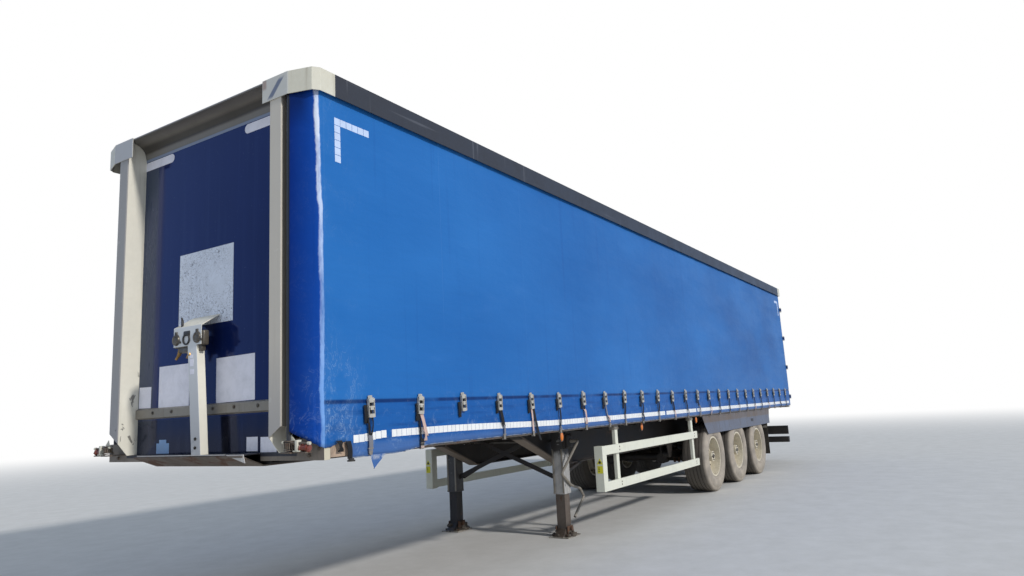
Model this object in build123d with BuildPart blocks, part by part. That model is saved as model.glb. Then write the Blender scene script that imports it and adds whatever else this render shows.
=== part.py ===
# Three-axle curtain-sided semi trailer, parked on its landing legs.
# Millimetres. +X points forward, +Y to the trailer's left and +Z up.
# The origin is on the ground, at the middle of the length and of the width.

import os
from math import atan2, cos, hypot, sin

from build123d import *

os.makedirs("parts", exist_ok=True)

# Overall size
length = 13600
width = 2550
height = 3735
front = length / 2
rear = -length / 2
side = width / 2

# Clearances
soft_gap = 0.3
running_gap = 0.08
door_gap = 3

# Front wall, which the deck ends at
headboard_setback = 168
headboard_face = front - headboard_setback
headboard_thickness = 30
headboard_back = headboard_face - headboard_thickness
floor_start = headboard_back

# Deck, and the frame under it
deck_top = 1275
deck_thickness = 27
deck_underside = deck_top - deck_thickness
coupler_underside = 1100
coupler_thickness = 10
coupler_top = coupler_underside + coupler_thickness

rail_y = 600
rail_width = 130
rail_flange = 12
rail_web = 8
rail_deep_underside = 740
rail_tail_underside = 900
neck_end_setback = 3300
neck_foot_setback = 4250
tail_rise_inset = 1900

crossmember_width = 60
crossmember_depth = 80
crossmember_wall = 6
crossmember_count = 25
crossmember_start = 160
crossmember_end = 562

rave_height = 125
rave_depth = 50
rave_wall = 5

# Upper body
curtain_inset = 27
curtain_outer_y = side - curtain_inset
curtain_thickness = 12
curtain_inner_y = curtain_outer_y - curtain_thickness
curtain_hem = 1165
curtain_corner_setback = 78
curtain_return_x = front - 15
curtain_front_hem = 1330
curtain_corner_hem = 1235
curtain_cut_setback = 350
curtain_corner_radius = 35
curtain_rear_x = rear + 100
right_curtain_opening = 170
body_inner_y = curtain_inner_y - soft_gap

cant_height = 164
cant_wall = 6
cant_shelf = 135
cant_inner_lip = 95
cant_underside = height - cant_height
roof_thickness = 4
roof_crown = 22
roof_edge_z = height - 45
bow_width = 40
bow_depth = 30
bow_count = 15

cap_front_inner_y = 807
cap_front_outer_y = 1062
cap_facet_x = front - 56
cap_facet_y = 1241
cap_side_x = front - 102
cap_length = 236
cap_wall = 6

header_underside = cant_underside + 9
header_lip = 14
header_cove_x = front - 148
header_cove_z = header_underside + 80
post_inner_y = 880
post_outer_y = 992
post_front = front - 8
post_wall = 6
post_cut_inner_z = 1292
post_cut_outer_z = 1360
post_heel_setback = 90
board_rail_height = 84
board_rail_thickness = 22
board_rail_z = 1500
bolster_front = front - 10
bolster_wall = 8
bolster_top = 1190
bolster_foot = 1137
bolster_corner_x = front - 148

# Curtain poles and their tensioners
pole_radius = 17
pole_y = 1046
pole_x = front - 34
ratchet_radius = 26
ratchet_height = 90
ratchet_plate = 90
ratchet_z = 1290
ratchet_bar_length = 130

# Coupler plate and king pin
coupler_lip_z = bolster_top - bolster_wall
coupler_half_width = 625
coupler_ramp_length = 180
coupler_length = 2650
kingpin_setback = 1600
kingpin_radius = 25.4
kingpin_collar_radius = 35.5
kingpin_length = 71
kingpin_head = 13
kingpin_collar = 5
kingpin_flange = 12
kingpin_flange_radius = 110

# Coupling stand at the front wall
stand_y = 110
stand_width = 104
stand_depth = 64
stand_head_z = 1960
stand_lean = 70
stand_wall = 5
stand_front = bolster_front - 4
head_width = 330
head_y = -20
hood_z = 2190
hood_drop = 90
coupling_radius = 34
socket_radius = 42

# Side posts between curtain and load
side_post_width = 110
side_post_depth = 62
side_post_setbacks = (3900, 6800, 9700)

# Curtain buckles
buckle_count = 25
buckle_first_setback = 545
buckle_last_inset = 490
buckle_top = 1505
buckle_width = 46
buckle_height = 105
buckle_depth = 22
strap_width = 44
strap_thickness = 4
strap_hook = 7
strapless_count = 1
buckles_ahead_count = 2

# Landing legs
leg_setback = 4050
sleeve_size = 140
leg_y = rail_y + rail_width / 2 + sleeve_size / 2
sleeve_underside = 450
sleeve_top = 1150
leg_wall = 7
tube_size = 112
foot_height = 90
foot_plate = 12
foot_length = 290
foot_width = 240
brace_size = 50
brace_thickness = 10
brace_low_z = 620
brace_cross_z = 890
brace_beam_depth = 90
brace_beam_width = 160
stay_reach = 520
gearbox_depth = 70
gearbox_height = 170
gearbox_z = 930
shaft_radius = 14
shaft_z = gearbox_z + gearbox_height / 2
shaft_behind = 35
shaft_play = 4
crank_radius = 11
crank_socket_reach = 95
crank_lean_gap = 9
crank_knee_ahead = 155
crank_knee_z = 675
crank_kink_behind = 50
crank_kink_z = 535
crank_elbow_behind = 375
crank_elbow_z = 437
crank_foot_behind = 88
crank_foot_z = 195
crank_bend = 30

# Axles, wheels and suspension
axle_count = 3
first_axle_setback = 8107
axle_pitch = 1310
wheel_radius = 520
tyre_width = 385
tyre_face_y = 1213
tread_half = 172
shoulder_radius = 500
shoulder_step = 22
bulge_radius = 400
rim_radius = 286
rim_width = 300
rim_wall = 9
rim_lip = 9
rim_lip_radius = 300
disc_place = 10
disc_thickness = 12
wheel_mid_y = tyre_face_y - tyre_width / 2
spindle_radius = 45
axle_radius = 63
axle_end_y = 790
hub_radius = 145
hub_cap_radius = 78
hub_face_y = 1150
spindle_gap = 6
drum_radius = 205
drum_inner_y = 835
shield_radius = 190
shield_thickness = 8
hand_hole_count = 10
hand_hole_radius = 24
hand_hole_circle = 200
arm_width = 90
arm_pivot_ahead = 500
arm_pivot_z = 600
arm_spring_behind = 390
arm_eye_radius = 50
arm_crest = 25
arm_tail = 30
pivot_radius = 18
hanger_wall = 12
hanger_gap = 4
hanger_head = 110
spring_radius = 138
spring_waist = 110
spring_foot = 105
spring_plate = 12
chamber_radius = 82
chamber_length = 170
chamber_ahead = 110
chamber_y = 430

# Side guards
guard_face_y = 1230
guard_front_setback = 4100
guard_rear_setback = 7250
guard_post_size = 100
guard_rail_height = 98
guard_rail_thickness = 28
guard_top = 945
guard_foot = 466
guard_upright_width = 70
guard_upright_depth = 40
guard_upright_setbacks = (4550, 7120)

# Tanks, valances and flaps
tank_radius = 150
tank_length = 900
tank_count = 2
members_ahead_count = 11
tank_z = 900
valance_front_setback = 7590
valance_rear_setback = 11700
valance_slant = 200
valance_fold = 1010
valance_foot = 872
valance_thickness = 4
valance_y = 1226
valance_lean = 12
flap_setback = 11440
flap_top = 860
flap_foot = 300
flap_inner_y = 840
flap_outer_y = 1215
flap_thickness = 8
flap_bar_radius = 17

# Rear frame, doors and bumper
frame_depth = 125
frame_back = rear + 75
frame_front = frame_back + frame_depth
frame_post_inner_y = 1120
frame_header_underside = height - 315
frame_foot = 1130
door_thickness = 38
door_back = rear + 35
door_top = height - 285
door_foot = 1165
door_outer_y = 1232
hinge_y = 1262
hinge_count = 4
hinge_end = 190
hinge_pitch = (door_top - door_foot - 2 * hinge_end) / (hinge_count - 1)
hinge_heights = [door_foot + hinge_end + i * hinge_pitch for i in range(hinge_count)]
hinge_pin_radius = 6
knuckle_radius = 11
knuckle_height = 60
hinge_play = 1
ear_height = 16
ear_width = 20
ear_clearance = 6
blade_length = 170
blade_thickness = 8
hinge_x = door_back - blade_thickness - knuckle_radius + 3
lock_bar_radius = 11
lock_bar_x = door_back - 13
lock_bars = ((330, -1, 1700), (930, 1, 1620))
lock_bar_foot = 1150
lock_bar_top = door_top + 80
lock_guide_end = 120
lock_guide_pitch = (door_top - door_foot - 2 * lock_guide_end) / (hinge_count - 1)
lock_guides = [door_foot + lock_guide_end + i * lock_guide_pitch for i in range(hinge_count)]
lock_guide_width = 60
lock_guide_height = 40
lock_handle_length = 330
keeper_height = 60
keeper_width = 50
keeper_depth = 30
bumper_back = rear
bumper_depth = 100
bumper_half_width = 1140
bumper_foot = 385
bumper_height = 120
board_foot = 555
board_height = 180
board_depth = 45
bumper_upright = 60
bumper_round = 15
lamp_width = 420
lamp_height = 130
lamp_depth = 30

# Marker lamps along the sides
marker_setbacks = (3250, 5270, 7300)
marker_width = 60
marker_height = 100
marker_depth = 26

axle_places = [front - first_axle_setback - i * axle_pitch for i in range(axle_count)]
leg_x = front - leg_setback
curtain_return_y = pole_y + pole_radius + curtain_thickness / 2
buckle_pitch = (length - buckle_first_setback - buckle_last_inset) / (buckle_count - 1)
rave_underside = deck_top - rave_height
crossmember_underside = deck_underside - crossmember_depth
shelf_underside = height - cant_wall


def finish(piece, name):
    piece.part.label = name
    export_step(piece.part, f"parts/{name}.step")


# Frame under the deck
crossmember_first = floor_start - crossmember_start
crossmember_pitch = (crossmember_first - frame_front - crossmember_end) / (crossmember_count - 1)
crossmember_places = [crossmember_first - i * crossmember_pitch for i in range(crossmember_count)]


def make_main_rails():
    slot_depth = crossmember_depth - rail_flange
    with BuildPart() as rails:
        with BuildSketch(Plane.XZ.offset(-rail_y)) as outline:
            with BuildLine():
                Polyline(
                    (floor_start, deck_underside),
                    (floor_start, coupler_top),
                    (front - neck_end_setback, coupler_top),
                    (front - neck_foot_setback, rail_deep_underside),
                    (rear + tail_rise_inset, rail_deep_underside),
                    (frame_front, rail_tail_underside),
                    (frame_front, deck_underside),
                    close=True,
                )
            make_face()
        extrude(amount=rail_width / 2, both=True)
        with BuildSketch(Plane.XZ.offset(-rail_y)) as pocket:
            add(outline.sketch_local)
            offset(amount=-rail_flange, mode=Mode.REPLACE)
        for turn in (1, -1):
            extrude(pocket.sketch, amount=turn * rail_width / 2, mode=Mode.SUBTRACT)
        with BuildSketch(Plane.XZ.offset(-rail_y)):
            add(outline.sketch_local)
        extrude(amount=rail_web / 2, both=True)
        with Locations(*[(x, rail_y, deck_underside - rail_flange) for x in crossmember_places]):
            Box(crossmember_width, rail_width, slot_depth,
                align=(Align.CENTER, Align.CENTER, Align.MAX), mode=Mode.SUBTRACT)
        with Locations((leg_x - shaft_behind, rail_y, shaft_z)):
            Cylinder(shaft_radius + shaft_play, 2 * rail_web, rotation=(90, 0, 0), mode=Mode.SUBTRACT)
        mirror(about=Plane.XZ)
    finish(rails, "main_rails")


def make_crossmembers():
    half_span = body_inner_y - rave_depth
    middle = deck_underside - crossmember_depth / 2
    with BuildPart() as members:
        with BuildSketch(Plane.XZ):
            with Locations(*[(x, middle) for x in crossmember_places]):
                Rectangle(crossmember_width, crossmember_depth)
            with Locations(*[(x - crossmember_wall, middle) for x in crossmember_places]):
                Rectangle(crossmember_width, crossmember_depth - 2 * crossmember_wall, mode=Mode.SUBTRACT)
        extrude(amount=half_span, both=True)
        with Locations(*[(x, turn * rail_y, deck_underside)
                         for x in crossmember_places for turn in (1, -1)]):
            Box(crossmember_width, rail_width, 2 * rail_flange, mode=Mode.SUBTRACT)
    finish(members, "cross_members")


def make_side_raves():
    with BuildPart() as raves:
        with BuildSketch(Plane.YZ.offset(frame_front)):
            with Locations((body_inner_y, deck_top)):
                Rectangle(rave_depth, rave_height, align=(Align.MAX, Align.MAX))
            with Locations((body_inner_y - rave_wall, deck_underside - rave_wall)):
                Rectangle(rave_depth, rave_height - deck_thickness - 2 * rave_wall,
                          align=(Align.MAX, Align.MAX), mode=Mode.SUBTRACT)
            with Locations((body_inner_y - rave_wall, deck_top)):
                Rectangle(rave_depth, deck_thickness, align=(Align.MAX, Align.MAX), mode=Mode.SUBTRACT)
        extrude(amount=headboard_back - frame_front)
        mirror(about=Plane.XZ)
    finish(raves, "side_raves")


def make_deck():
    with BuildPart() as deck:
        with Locations(((headboard_back + frame_front) / 2, 0, deck_underside)):
            Box(headboard_back - frame_front, 2 * (body_inner_y - rave_wall), deck_thickness,
                align=(Align.CENTER, Align.CENTER, Align.MIN))
    finish(deck, "deck")


def make_coupler_plate():
    ramp_foot = front - coupler_ramp_length
    tail = front - coupler_length
    with BuildPart() as plate:
        with BuildSketch(Plane.XZ):
            with BuildLine():
                Polyline(
                    (tail, coupler_underside),
                    (ramp_foot, coupler_underside),
                    (front, coupler_lip_z - coupler_thickness),
                    (front, coupler_lip_z),
                    (ramp_foot, coupler_top),
                    (tail, coupler_top),
                    close=True,
                )
            make_face()
        extrude(amount=coupler_half_width, both=True)
        with Locations((front - kingpin_setback, 0, coupler_underside)):
            Cylinder(kingpin_collar_radius, 4 * coupler_thickness, mode=Mode.SUBTRACT)
    finish(plate, "coupler_plate")


def make_kingpin():
    x = front - kingpin_setback
    with BuildPart() as pin:
        with BuildSketch(Plane.XY.offset(coupler_top)):
            with Locations((x, 0)):
                Circle(kingpin_flange_radius)
        extrude(amount=kingpin_flange)
        with BuildSketch(Plane.XY.offset(coupler_top)):
            with Locations((x, 0)):
                Circle(kingpin_collar_radius - soft_gap)
        extrude(amount=-coupler_thickness - kingpin_collar)
        with BuildSketch(Plane.XY.offset(coupler_underside - kingpin_collar)):
            with Locations((x, 0)):
                Circle(kingpin_radius)
        extrude(amount=-kingpin_length)
        with BuildSketch(Plane.XY.offset(coupler_underside - kingpin_collar - kingpin_length)):
            with Locations((x, 0)):
                Circle(kingpin_collar_radius)
        extrude(amount=-kingpin_head)
    finish(pin, "kingpin")


def make_bolster():
    corner_depth = bolster_corner_x - floor_start
    with BuildPart() as bolster:
        with BuildSketch(Plane.XY.offset(bolster_foot)) as plan:
            with Locations((floor_start, 0)):
                Rectangle(corner_depth, 2 * body_inner_y, align=(Align.MIN, Align.CENTER))
                Rectangle(bolster_front - floor_start, 2 * coupler_half_width,
                          align=(Align.MIN, Align.CENTER))
        extrude(amount=bolster_top - bolster_foot)
        with BuildSketch(Plane.XY.offset(bolster_foot)):
            offset(plan.sketch_local, amount=-bolster_wall)
        extrude(amount=bolster_top - bolster_wall - bolster_foot, mode=Mode.SUBTRACT)
        with Locations((front, 0, coupler_lip_z)):
            Box(2 * (front - floor_start), 2 * coupler_half_width, coupler_lip_z - coupler_underside,
                align=(Align.CENTER, Align.CENTER, Align.MAX), mode=Mode.SUBTRACT)
        with Locations((floor_start, post_outer_y, bolster_top)):
            Box(corner_depth, body_inner_y - post_outer_y, deck_top - bolster_top,
                align=(Align.MIN, Align.MIN, Align.MIN))
            Box(corner_depth - bolster_wall, body_inner_y - post_outer_y - bolster_wall,
                deck_top - bolster_top - bolster_wall,
                align=(Align.MIN, Align.MIN, Align.MIN), mode=Mode.SUBTRACT)
        mirror(about=Plane.XZ)
    finish(bolster, "front_bolster")


# Front wall
def make_headboard():
    with BuildPart() as board:
        with Locations((headboard_back, 0, bolster_top)):
            Box(headboard_thickness, 2 * post_inner_y, header_underside - bolster_top,
                align=(Align.MIN, Align.CENTER, Align.MIN))
    finish(board, "headboard")


def make_headboard_rail():
    half_height = board_rail_height / 2
    flat_half = half_height - board_rail_thickness / 2
    rail_face = headboard_face + board_rail_thickness
    with BuildPart() as rail:
        with BuildSketch(Plane.XZ):
            with BuildLine():
                Polyline(
                    (headboard_face, board_rail_z - half_height),
                    (rail_face, board_rail_z - flat_half),
                    (rail_face, board_rail_z + flat_half),
                    (headboard_face, board_rail_z + half_height),
                    close=True,
                )
            make_face()
        extrude(amount=post_inner_y, both=True)
    finish(rail, "headboard_rail")


def make_front_posts():
    post_depth = post_front - headboard_back
    post_width = post_outer_y - post_inner_y
    with BuildPart() as posts:
        with BuildSketch(Plane.XY.offset(bolster_top)):
            with Locations((headboard_back, post_inner_y)):
                Rectangle(post_depth, post_width, align=(Align.MIN, Align.MIN))
            with Locations((headboard_back, post_inner_y + post_wall)):
                Rectangle(post_depth - post_wall, post_width - 2 * post_wall, align=(Align.MIN, Align.MIN),
                          mode=Mode.SUBTRACT)
        extrude(amount=shelf_underside - bolster_top)
        with BuildSketch(Plane.YZ.offset(headboard_face)):
            with BuildLine():
                Polyline(
                    (post_inner_y + post_wall, post_cut_inner_z),
                    (post_outer_y, post_cut_outer_z),
                    (post_outer_y + post_wall, bolster_top),
                    (post_inner_y + post_wall, bolster_top),
                    close=True,
                )
            make_face()
        extrude(amount=post_depth, mode=Mode.SUBTRACT)
        with BuildSketch(Plane.XZ):
            with BuildLine():
                Polyline(
                    (post_front, post_cut_inner_z),
                    (front - post_heel_setback, bolster_top),
                    (post_front, bolster_top),
                    close=True,
                )
            make_face()
        extrude(amount=side, both=True, mode=Mode.SUBTRACT)
        mirror(about=Plane.XZ)
    finish(posts, "front_posts")


def make_front_header():
    top = shelf_underside
    with BuildPart() as header:
        with BuildSketch(Plane.XZ):
            with BuildLine():
                Polyline(
                    (headboard_face, header_underside),
                    (headboard_back, header_underside),
                    (headboard_back, top),
                    (post_front, top),
                    (post_front, top - header_lip),
                )
                ThreePointArc(
                    (post_front, top - header_lip),
                    ((post_front + header_cove_x) / 2 - header_lip, (top + header_cove_z) / 2 + header_lip),
                    (header_cove_x, header_cove_z),
                )
                Line((header_cove_x, header_cove_z), (headboard_face, header_underside))
            make_face()
        extrude(amount=post_inner_y, both=True)
    finish(header, "front_header")


def make_corner_caps():
    band = cant_height
    with BuildPart() as caps:
        with BuildSketch(Plane.XY.offset(cant_underside)) as front_plan:
            with BuildLine():
                Polyline(
                    (front, cap_front_inner_y),
                    (front, cap_front_outer_y),
                    (cap_facet_x, cap_facet_y),
                    (cap_side_x, side),
                    (front - cap_length, side),
                )
                offset(amount=cap_wall, side=Side.LEFT)
            make_face()
        extrude(amount=band)
        with BuildSketch(Plane.XY.offset(shelf_underside)):
            with BuildLine():
                Polyline(
                    (headboard_back, cap_front_inner_y),
                    (front, cap_front_inner_y),
                    (front, cap_front_outer_y),
                    (cap_facet_x, cap_facet_y),
                    (cap_side_x, side),
                    (front - cap_length, side),
                    (front - cap_length, side - cant_shelf),
                    (headboard_back, side - cant_shelf),
                    close=True,
                )
            make_face()
        extrude(amount=cap_wall)
        with BuildSketch(Plane.XY.offset(cant_underside)):
            with BuildLine():
                Polyline(
                    (frame_front, side),
                    (door_back, side),
                    (door_back, frame_post_inner_y),
                )
                offset(amount=cap_wall, side=Side.LEFT)
            make_face()
        extrude(amount=band)
        with BuildSketch(Plane.XY.offset(shelf_underside)):
            with Locations((door_back, frame_post_inner_y)):
                Rectangle(frame_front - door_back, side - frame_post_inner_y, align=(Align.MIN, Align.MIN))
        extrude(amount=cap_wall)
        mirror(about=Plane.XZ)
    finish(caps, "corner_caps")


# Roof
def make_cant_rails():
    with BuildPart() as rails:
        with BuildSketch(Plane.YZ.offset(frame_front)):
            with Locations((side, height)):
                Rectangle(cant_shelf, cant_wall, align=(Align.MAX, Align.MAX))
                Rectangle(cant_wall, cant_height, align=(Align.MAX, Align.MAX))
            with Locations((side - cant_shelf, height)):
                Rectangle(cant_wall, cant_inner_lip, align=(Align.MIN, Align.MAX))
        extrude(amount=front - cap_length - frame_front)
        mirror(about=Plane.XZ)
    finish(rails, "cant_rails")


def crowned_section(x, z, thickness):
    """Section across the body at x, bowed up at the middle, with its top edges at z."""
    half = side - cant_shelf
    with BuildSketch(Plane.YZ.offset(x)) as section:
        with BuildLine():
            ThreePointArc((-half, z), (0, z + roof_crown), (half, z))
            Line((half, z), (half, z - thickness))
            ThreePointArc((half, z - thickness), (0, z - thickness + roof_crown), (-half, z - thickness))
            Line((-half, z - thickness), (-half, z))
        make_face()
    return section.sketch


def make_roof_sheet():
    with BuildPart() as roof:
        extrude(crowned_section(frame_front, roof_edge_z, roof_thickness),
                amount=headboard_back - frame_front)
    finish(roof, "roof_sheet")


def make_roof_bows():
    pitch = (headboard_back - frame_front) / (bow_count + 1)
    with BuildPart() as bows:
        for i in range(bow_count):
            start = frame_front + (i + 1) * pitch - bow_width / 2
            extrude(crowned_section(start, roof_edge_z - roof_thickness, bow_depth), amount=bow_width)
    finish(bows, "roof_bows")


# Curtains and what holds them
def make_curtain_left():
    with BuildPart() as curtain:
        with BuildSketch(Plane.XY.offset(curtain_hem)):
            with BuildLine():
                FilletPolyline(
                    (curtain_rear_x, curtain_outer_y),
                    (front - curtain_corner_setback, curtain_outer_y),
                    (curtain_return_x, curtain_return_y),
                    radius=curtain_corner_radius,
                )
                offset(amount=curtain_thickness, side=Side.RIGHT)
            make_face()
        extrude(amount=shelf_underside - soft_gap - curtain_hem)
        with BuildSketch(Plane.XZ):
            with BuildLine():
                Polyline(
                    (front - curtain_cut_setback, curtain_hem),
                    (front - curtain_cut_setback / 2, curtain_corner_hem),
                    (front - curtain_corner_setback, curtain_corner_hem),
                    (front, curtain_front_hem),
                    (front, curtain_hem),
                    close=True,
                )
            make_face()
        extrude(amount=side, both=True, mode=Mode.SUBTRACT)
    finish(curtain, "curtain_left")


def make_curtain_right():
    """The right curtain stands open by a hand's width at the front."""
    with BuildPart() as curtain:
        with Locations((curtain_rear_x, -curtain_inner_y, curtain_hem)):
            Box(front - right_curtain_opening - curtain_rear_x, curtain_thickness,
                shelf_underside - soft_gap - curtain_hem, align=(Align.MIN, Align.MAX, Align.MIN))
    finish(curtain, "curtain_right")


def make_curtain_poles():
    open_pole_x = front - right_curtain_opening - pole_radius
    with BuildPart() as poles:
        with BuildSketch(Plane.XY.offset(bolster_top)):
            with Locations((pole_x, pole_y)):
                Circle(pole_radius)
        extrude(amount=shelf_underside - bolster_top)
        with BuildSketch(Plane.XY.offset(deck_top)):
            with Locations((open_pole_x, pole_radius - body_inner_y)):
                Circle(pole_radius)
        extrude(amount=shelf_underside - deck_top)
    finish(poles, "curtain_poles")


def make_curtain_ratchets():
    with BuildPart() as ratchets:
        with BuildSketch(Plane.XY.offset(bolster_top)):
            with Locations((bolster_corner_x, pole_y)):
                Rectangle(front - bolster_corner_x, ratchet_plate, align=(Align.MIN, Align.CENTER))
            with Locations((pole_x, pole_y)):
                Circle(pole_radius + soft_gap, mode=Mode.SUBTRACT)
        extrude(amount=bolster_wall)
        with BuildSketch(Plane.XY.offset(bolster_top + bolster_wall)):
            with Locations((pole_x, pole_y)):
                Circle(ratchet_radius)
                Circle(pole_radius + soft_gap, mode=Mode.SUBTRACT)
        extrude(amount=ratchet_height)
        with Locations((pole_x + ratchet_radius - crank_radius, pole_y, ratchet_z)):
            Box(crank_radius, ratchet_bar_length, crank_radius)
        with Locations((pole_x, pole_y, ratchet_z)):
            Cylinder(pole_radius + soft_gap, ratchet_bar_length, mode=Mode.SUBTRACT)
        mirror(about=Plane.XZ)
    finish(ratchets, "curtain_ratchets")


def make_side_posts():
    with BuildPart() as posts:
        with BuildSketch(Plane.XY.offset(deck_top)):
            for setback in side_post_setbacks:
                with Locations((front - setback, body_inner_y)):
                    Rectangle(side_post_width, side_post_depth, align=(Align.CENTER, Align.MAX))
        extrude(amount=shelf_underside - deck_top)
        mirror(about=Plane.XZ)
    finish(posts, "side_posts")


def make_one_buckle(turn, foot, hooked):
    """One strap with its buckle at x = 0, on the side given by turn."""
    strap_face = curtain_outer_y + soft_gap
    with BuildPart() as buckle:
        with Locations((0, turn * strap_face, foot)):
            Box(strap_width, strap_thickness, buckle_top - foot,
                align=(Align.CENTER, Align.MIN if turn > 0 else Align.MAX, Align.MIN))
        with Locations((0, turn * strap_face, buckle_top - buckle_height)):
            Box(buckle_width, buckle_depth, buckle_height,
                align=(Align.CENTER, Align.MIN if turn > 0 else Align.MAX, Align.CENTER))
        if hooked:
            with Locations((0, turn * (strap_face + strap_thickness), foot)):
                Box(strap_width / 2, strap_face + strap_thickness - body_inner_y + strap_hook, strap_hook,
                    align=(Align.CENTER, Align.MAX if turn > 0 else Align.MIN, Align.MIN))
    return buckle.part


def make_curtain_buckles():
    foot = rave_underside - soft_gap - strap_hook
    places = [front - buckle_first_setback - i * buckle_pitch for i in range(buckle_count)]
    loose = places[buckles_ahead_count:buckles_ahead_count + strapless_count]
    with BuildPart() as buckles:
        for turn in (1, -1):
            hooked = [x for x in places if turn < 0 or x not in loose]
            with Locations(*[(x, 0, 0) for x in hooked]):
                add(make_one_buckle(turn, foot, True))
        with Locations(*[(x, 0, 0) for x in loose]):
            add(make_one_buckle(1, buckle_top - 2 * buckle_height, False))
    finish(buckles, "curtain_buckles")


# Coupling stand
def make_coupling_stand():
    rise = stand_head_z - bolster_top
    with BuildPart() as stand:
        with BuildSketch(Plane.YZ.offset(stand_front - stand_depth)) as column:
            with BuildLine():
                Polyline(
                    (stand_y - stand_width / 2, bolster_top),
                    (stand_y + stand_width / 2, bolster_top),
                    (stand_y - stand_lean + stand_width / 2, stand_head_z),
                    (stand_y - stand_lean - stand_width / 2, stand_head_z),
                    close=True,
                )
            make_face()
        extrude(amount=stand_depth)
        with BuildSketch(Plane.YZ.offset(stand_front - stand_depth)):
            offset(column.sketch_local, amount=-stand_wall)
        extrude(amount=stand_depth - stand_wall, mode=Mode.SUBTRACT)
        with BuildSketch(Plane.XZ.offset(-head_y)):
            with BuildLine():
                Polyline(
                    (headboard_face, hood_z),
                    (stand_front, hood_z - hood_drop),
                    (stand_front, stand_head_z),
                    (stand_front - stand_wall, stand_head_z),
                    (stand_front - stand_wall, hood_z - hood_drop - stand_wall),
                    (headboard_face, hood_z - stand_wall),
                    close=True,
                )
            make_face()
        extrude(amount=head_width / 2, both=True)
    finish(stand, "coupling_stand")


def make_air_couplings():
    heads = ((-110, coupling_radius), (0, socket_radius), (110, coupling_radius))
    middle = (stand_head_z + hood_z - hood_drop) / 2
    with BuildPart() as couplings:
        for y, radius in heads:
            with BuildSketch(Plane.YZ.offset(stand_front)):
                with Locations((head_y + y, middle)):
                    Circle(radius)
            extrude(amount=front - stand_front)
            with BuildSketch(Plane.YZ.offset(stand_front - stand_wall)):
                with Locations((head_y + y, middle)):
                    Circle(radius * 0.6)
            extrude(amount=-2 * stand_wall)
    finish(couplings, "air_couplings")


# Landing legs
def make_leg_sleeves():
    inner = sleeve_size - 2 * leg_wall
    with BuildPart() as sleeves:
        with BuildSketch(Plane.XY.offset(sleeve_underside)):
            with Locations((leg_x, leg_y)):
                Rectangle(sleeve_size, sleeve_size)
                Rectangle(inner, inner, mode=Mode.SUBTRACT)
        extrude(amount=sleeve_top - sleeve_underside)
        with BuildSketch(Plane.XY.offset(sleeve_underside)):
            with Locations((leg_x, leg_y)):
                Rectangle(sleeve_size, sleeve_size)
                Rectangle(tube_size + 2 * soft_gap, tube_size + 2 * soft_gap, mode=Mode.SUBTRACT)
        extrude(amount=2 * leg_wall)
        with BuildSketch(Plane.XY.offset(sleeve_top - leg_wall)):
            with Locations((leg_x, leg_y)):
                Rectangle(sleeve_size, sleeve_size)
        extrude(amount=leg_wall)
        mirror(about=Plane.XZ)
    finish(sleeves, "leg_sleeves")


def make_leg_tubes():
    with BuildPart() as tubes:
        with BuildSketch(Plane.XY.offset(foot_plate)):
            with Locations((leg_x, leg_y)):
                Rectangle(tube_size, tube_size)
        extrude(amount=(sleeve_underside + sleeve_top) / 2 - foot_plate)
        with BuildSketch(Plane.XY):
            with Locations((leg_x, leg_y)):
                Rectangle(foot_length, foot_width)
        extrude(amount=foot_plate)
        with BuildSketch(Plane.XZ.offset(-leg_y)):
            with BuildLine():
                Polyline(
                    (leg_x - foot_length / 2, foot_plate),
                    (leg_x + foot_length / 2, foot_plate),
                    (leg_x + tube_size / 2, foot_height),
                    (leg_x - tube_size / 2, foot_height),
                    close=True,
                )
            make_face()
        extrude(amount=tube_size / 2, both=True)
        mirror(about=Plane.XZ)
    finish(tubes, "leg_tubes")


def make_leg_bracing():
    inner_y = leg_y - sleeve_size / 2
    slope = atan2(brace_cross_z - brace_low_z, inner_y)
    reach = (crossmember_underside - brace_beam_depth - brace_cross_z) / sin(slope) + brace_size / 2
    low = hypot(inner_y, brace_cross_z - brace_low_z) + brace_size
    beam_half = rail_y - rail_width / 2
    with BuildPart() as bracing:
        for turn in (1, -1):
            brace_plane = Plane((leg_x, 0, brace_cross_z), x_dir=(0, turn * cos(slope), sin(slope)),
                                z_dir=(1, 0, 0))
            with BuildSketch(brace_plane):
                with Locations(((reach - low) / 2, 0)):
                    Rectangle(reach + low, brace_size)
            extrude(amount=brace_thickness / 2, both=True)
        with Locations((leg_x, inner_y, brace_low_z)):
            Box(sleeve_size, 2 * low, 4 * brace_size,
                align=(Align.CENTER, Align.MIN, Align.CENTER), mode=Mode.SUBTRACT)
        with Locations((leg_x, -inner_y, brace_low_z)):
            Box(sleeve_size, 2 * low, 4 * brace_size,
                align=(Align.CENTER, Align.MAX, Align.CENTER), mode=Mode.SUBTRACT)
        with Locations((leg_x, 0, crossmember_underside)):
            Box(brace_beam_width, 2 * beam_half, brace_beam_depth,
                align=(Align.CENTER, Align.CENTER, Align.MAX))
        for turn in (1, -1):
            with BuildSketch(Plane.XZ.offset(-turn * inner_y)):
                with BuildLine():
                    Polyline(
                        (leg_x - sleeve_size / 2, brace_low_z - brace_size / 2),
                        (leg_x - sleeve_size / 2, brace_low_z + brace_size / 2),
                        (leg_x - stay_reach, rail_deep_underside),
                        (leg_x - stay_reach - 2 * brace_size, rail_deep_underside),
                        close=True,
                    )
                make_face()
            extrude(amount=brace_size / 2, both=True)
    finish(bracing, "leg_bracing")


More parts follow.
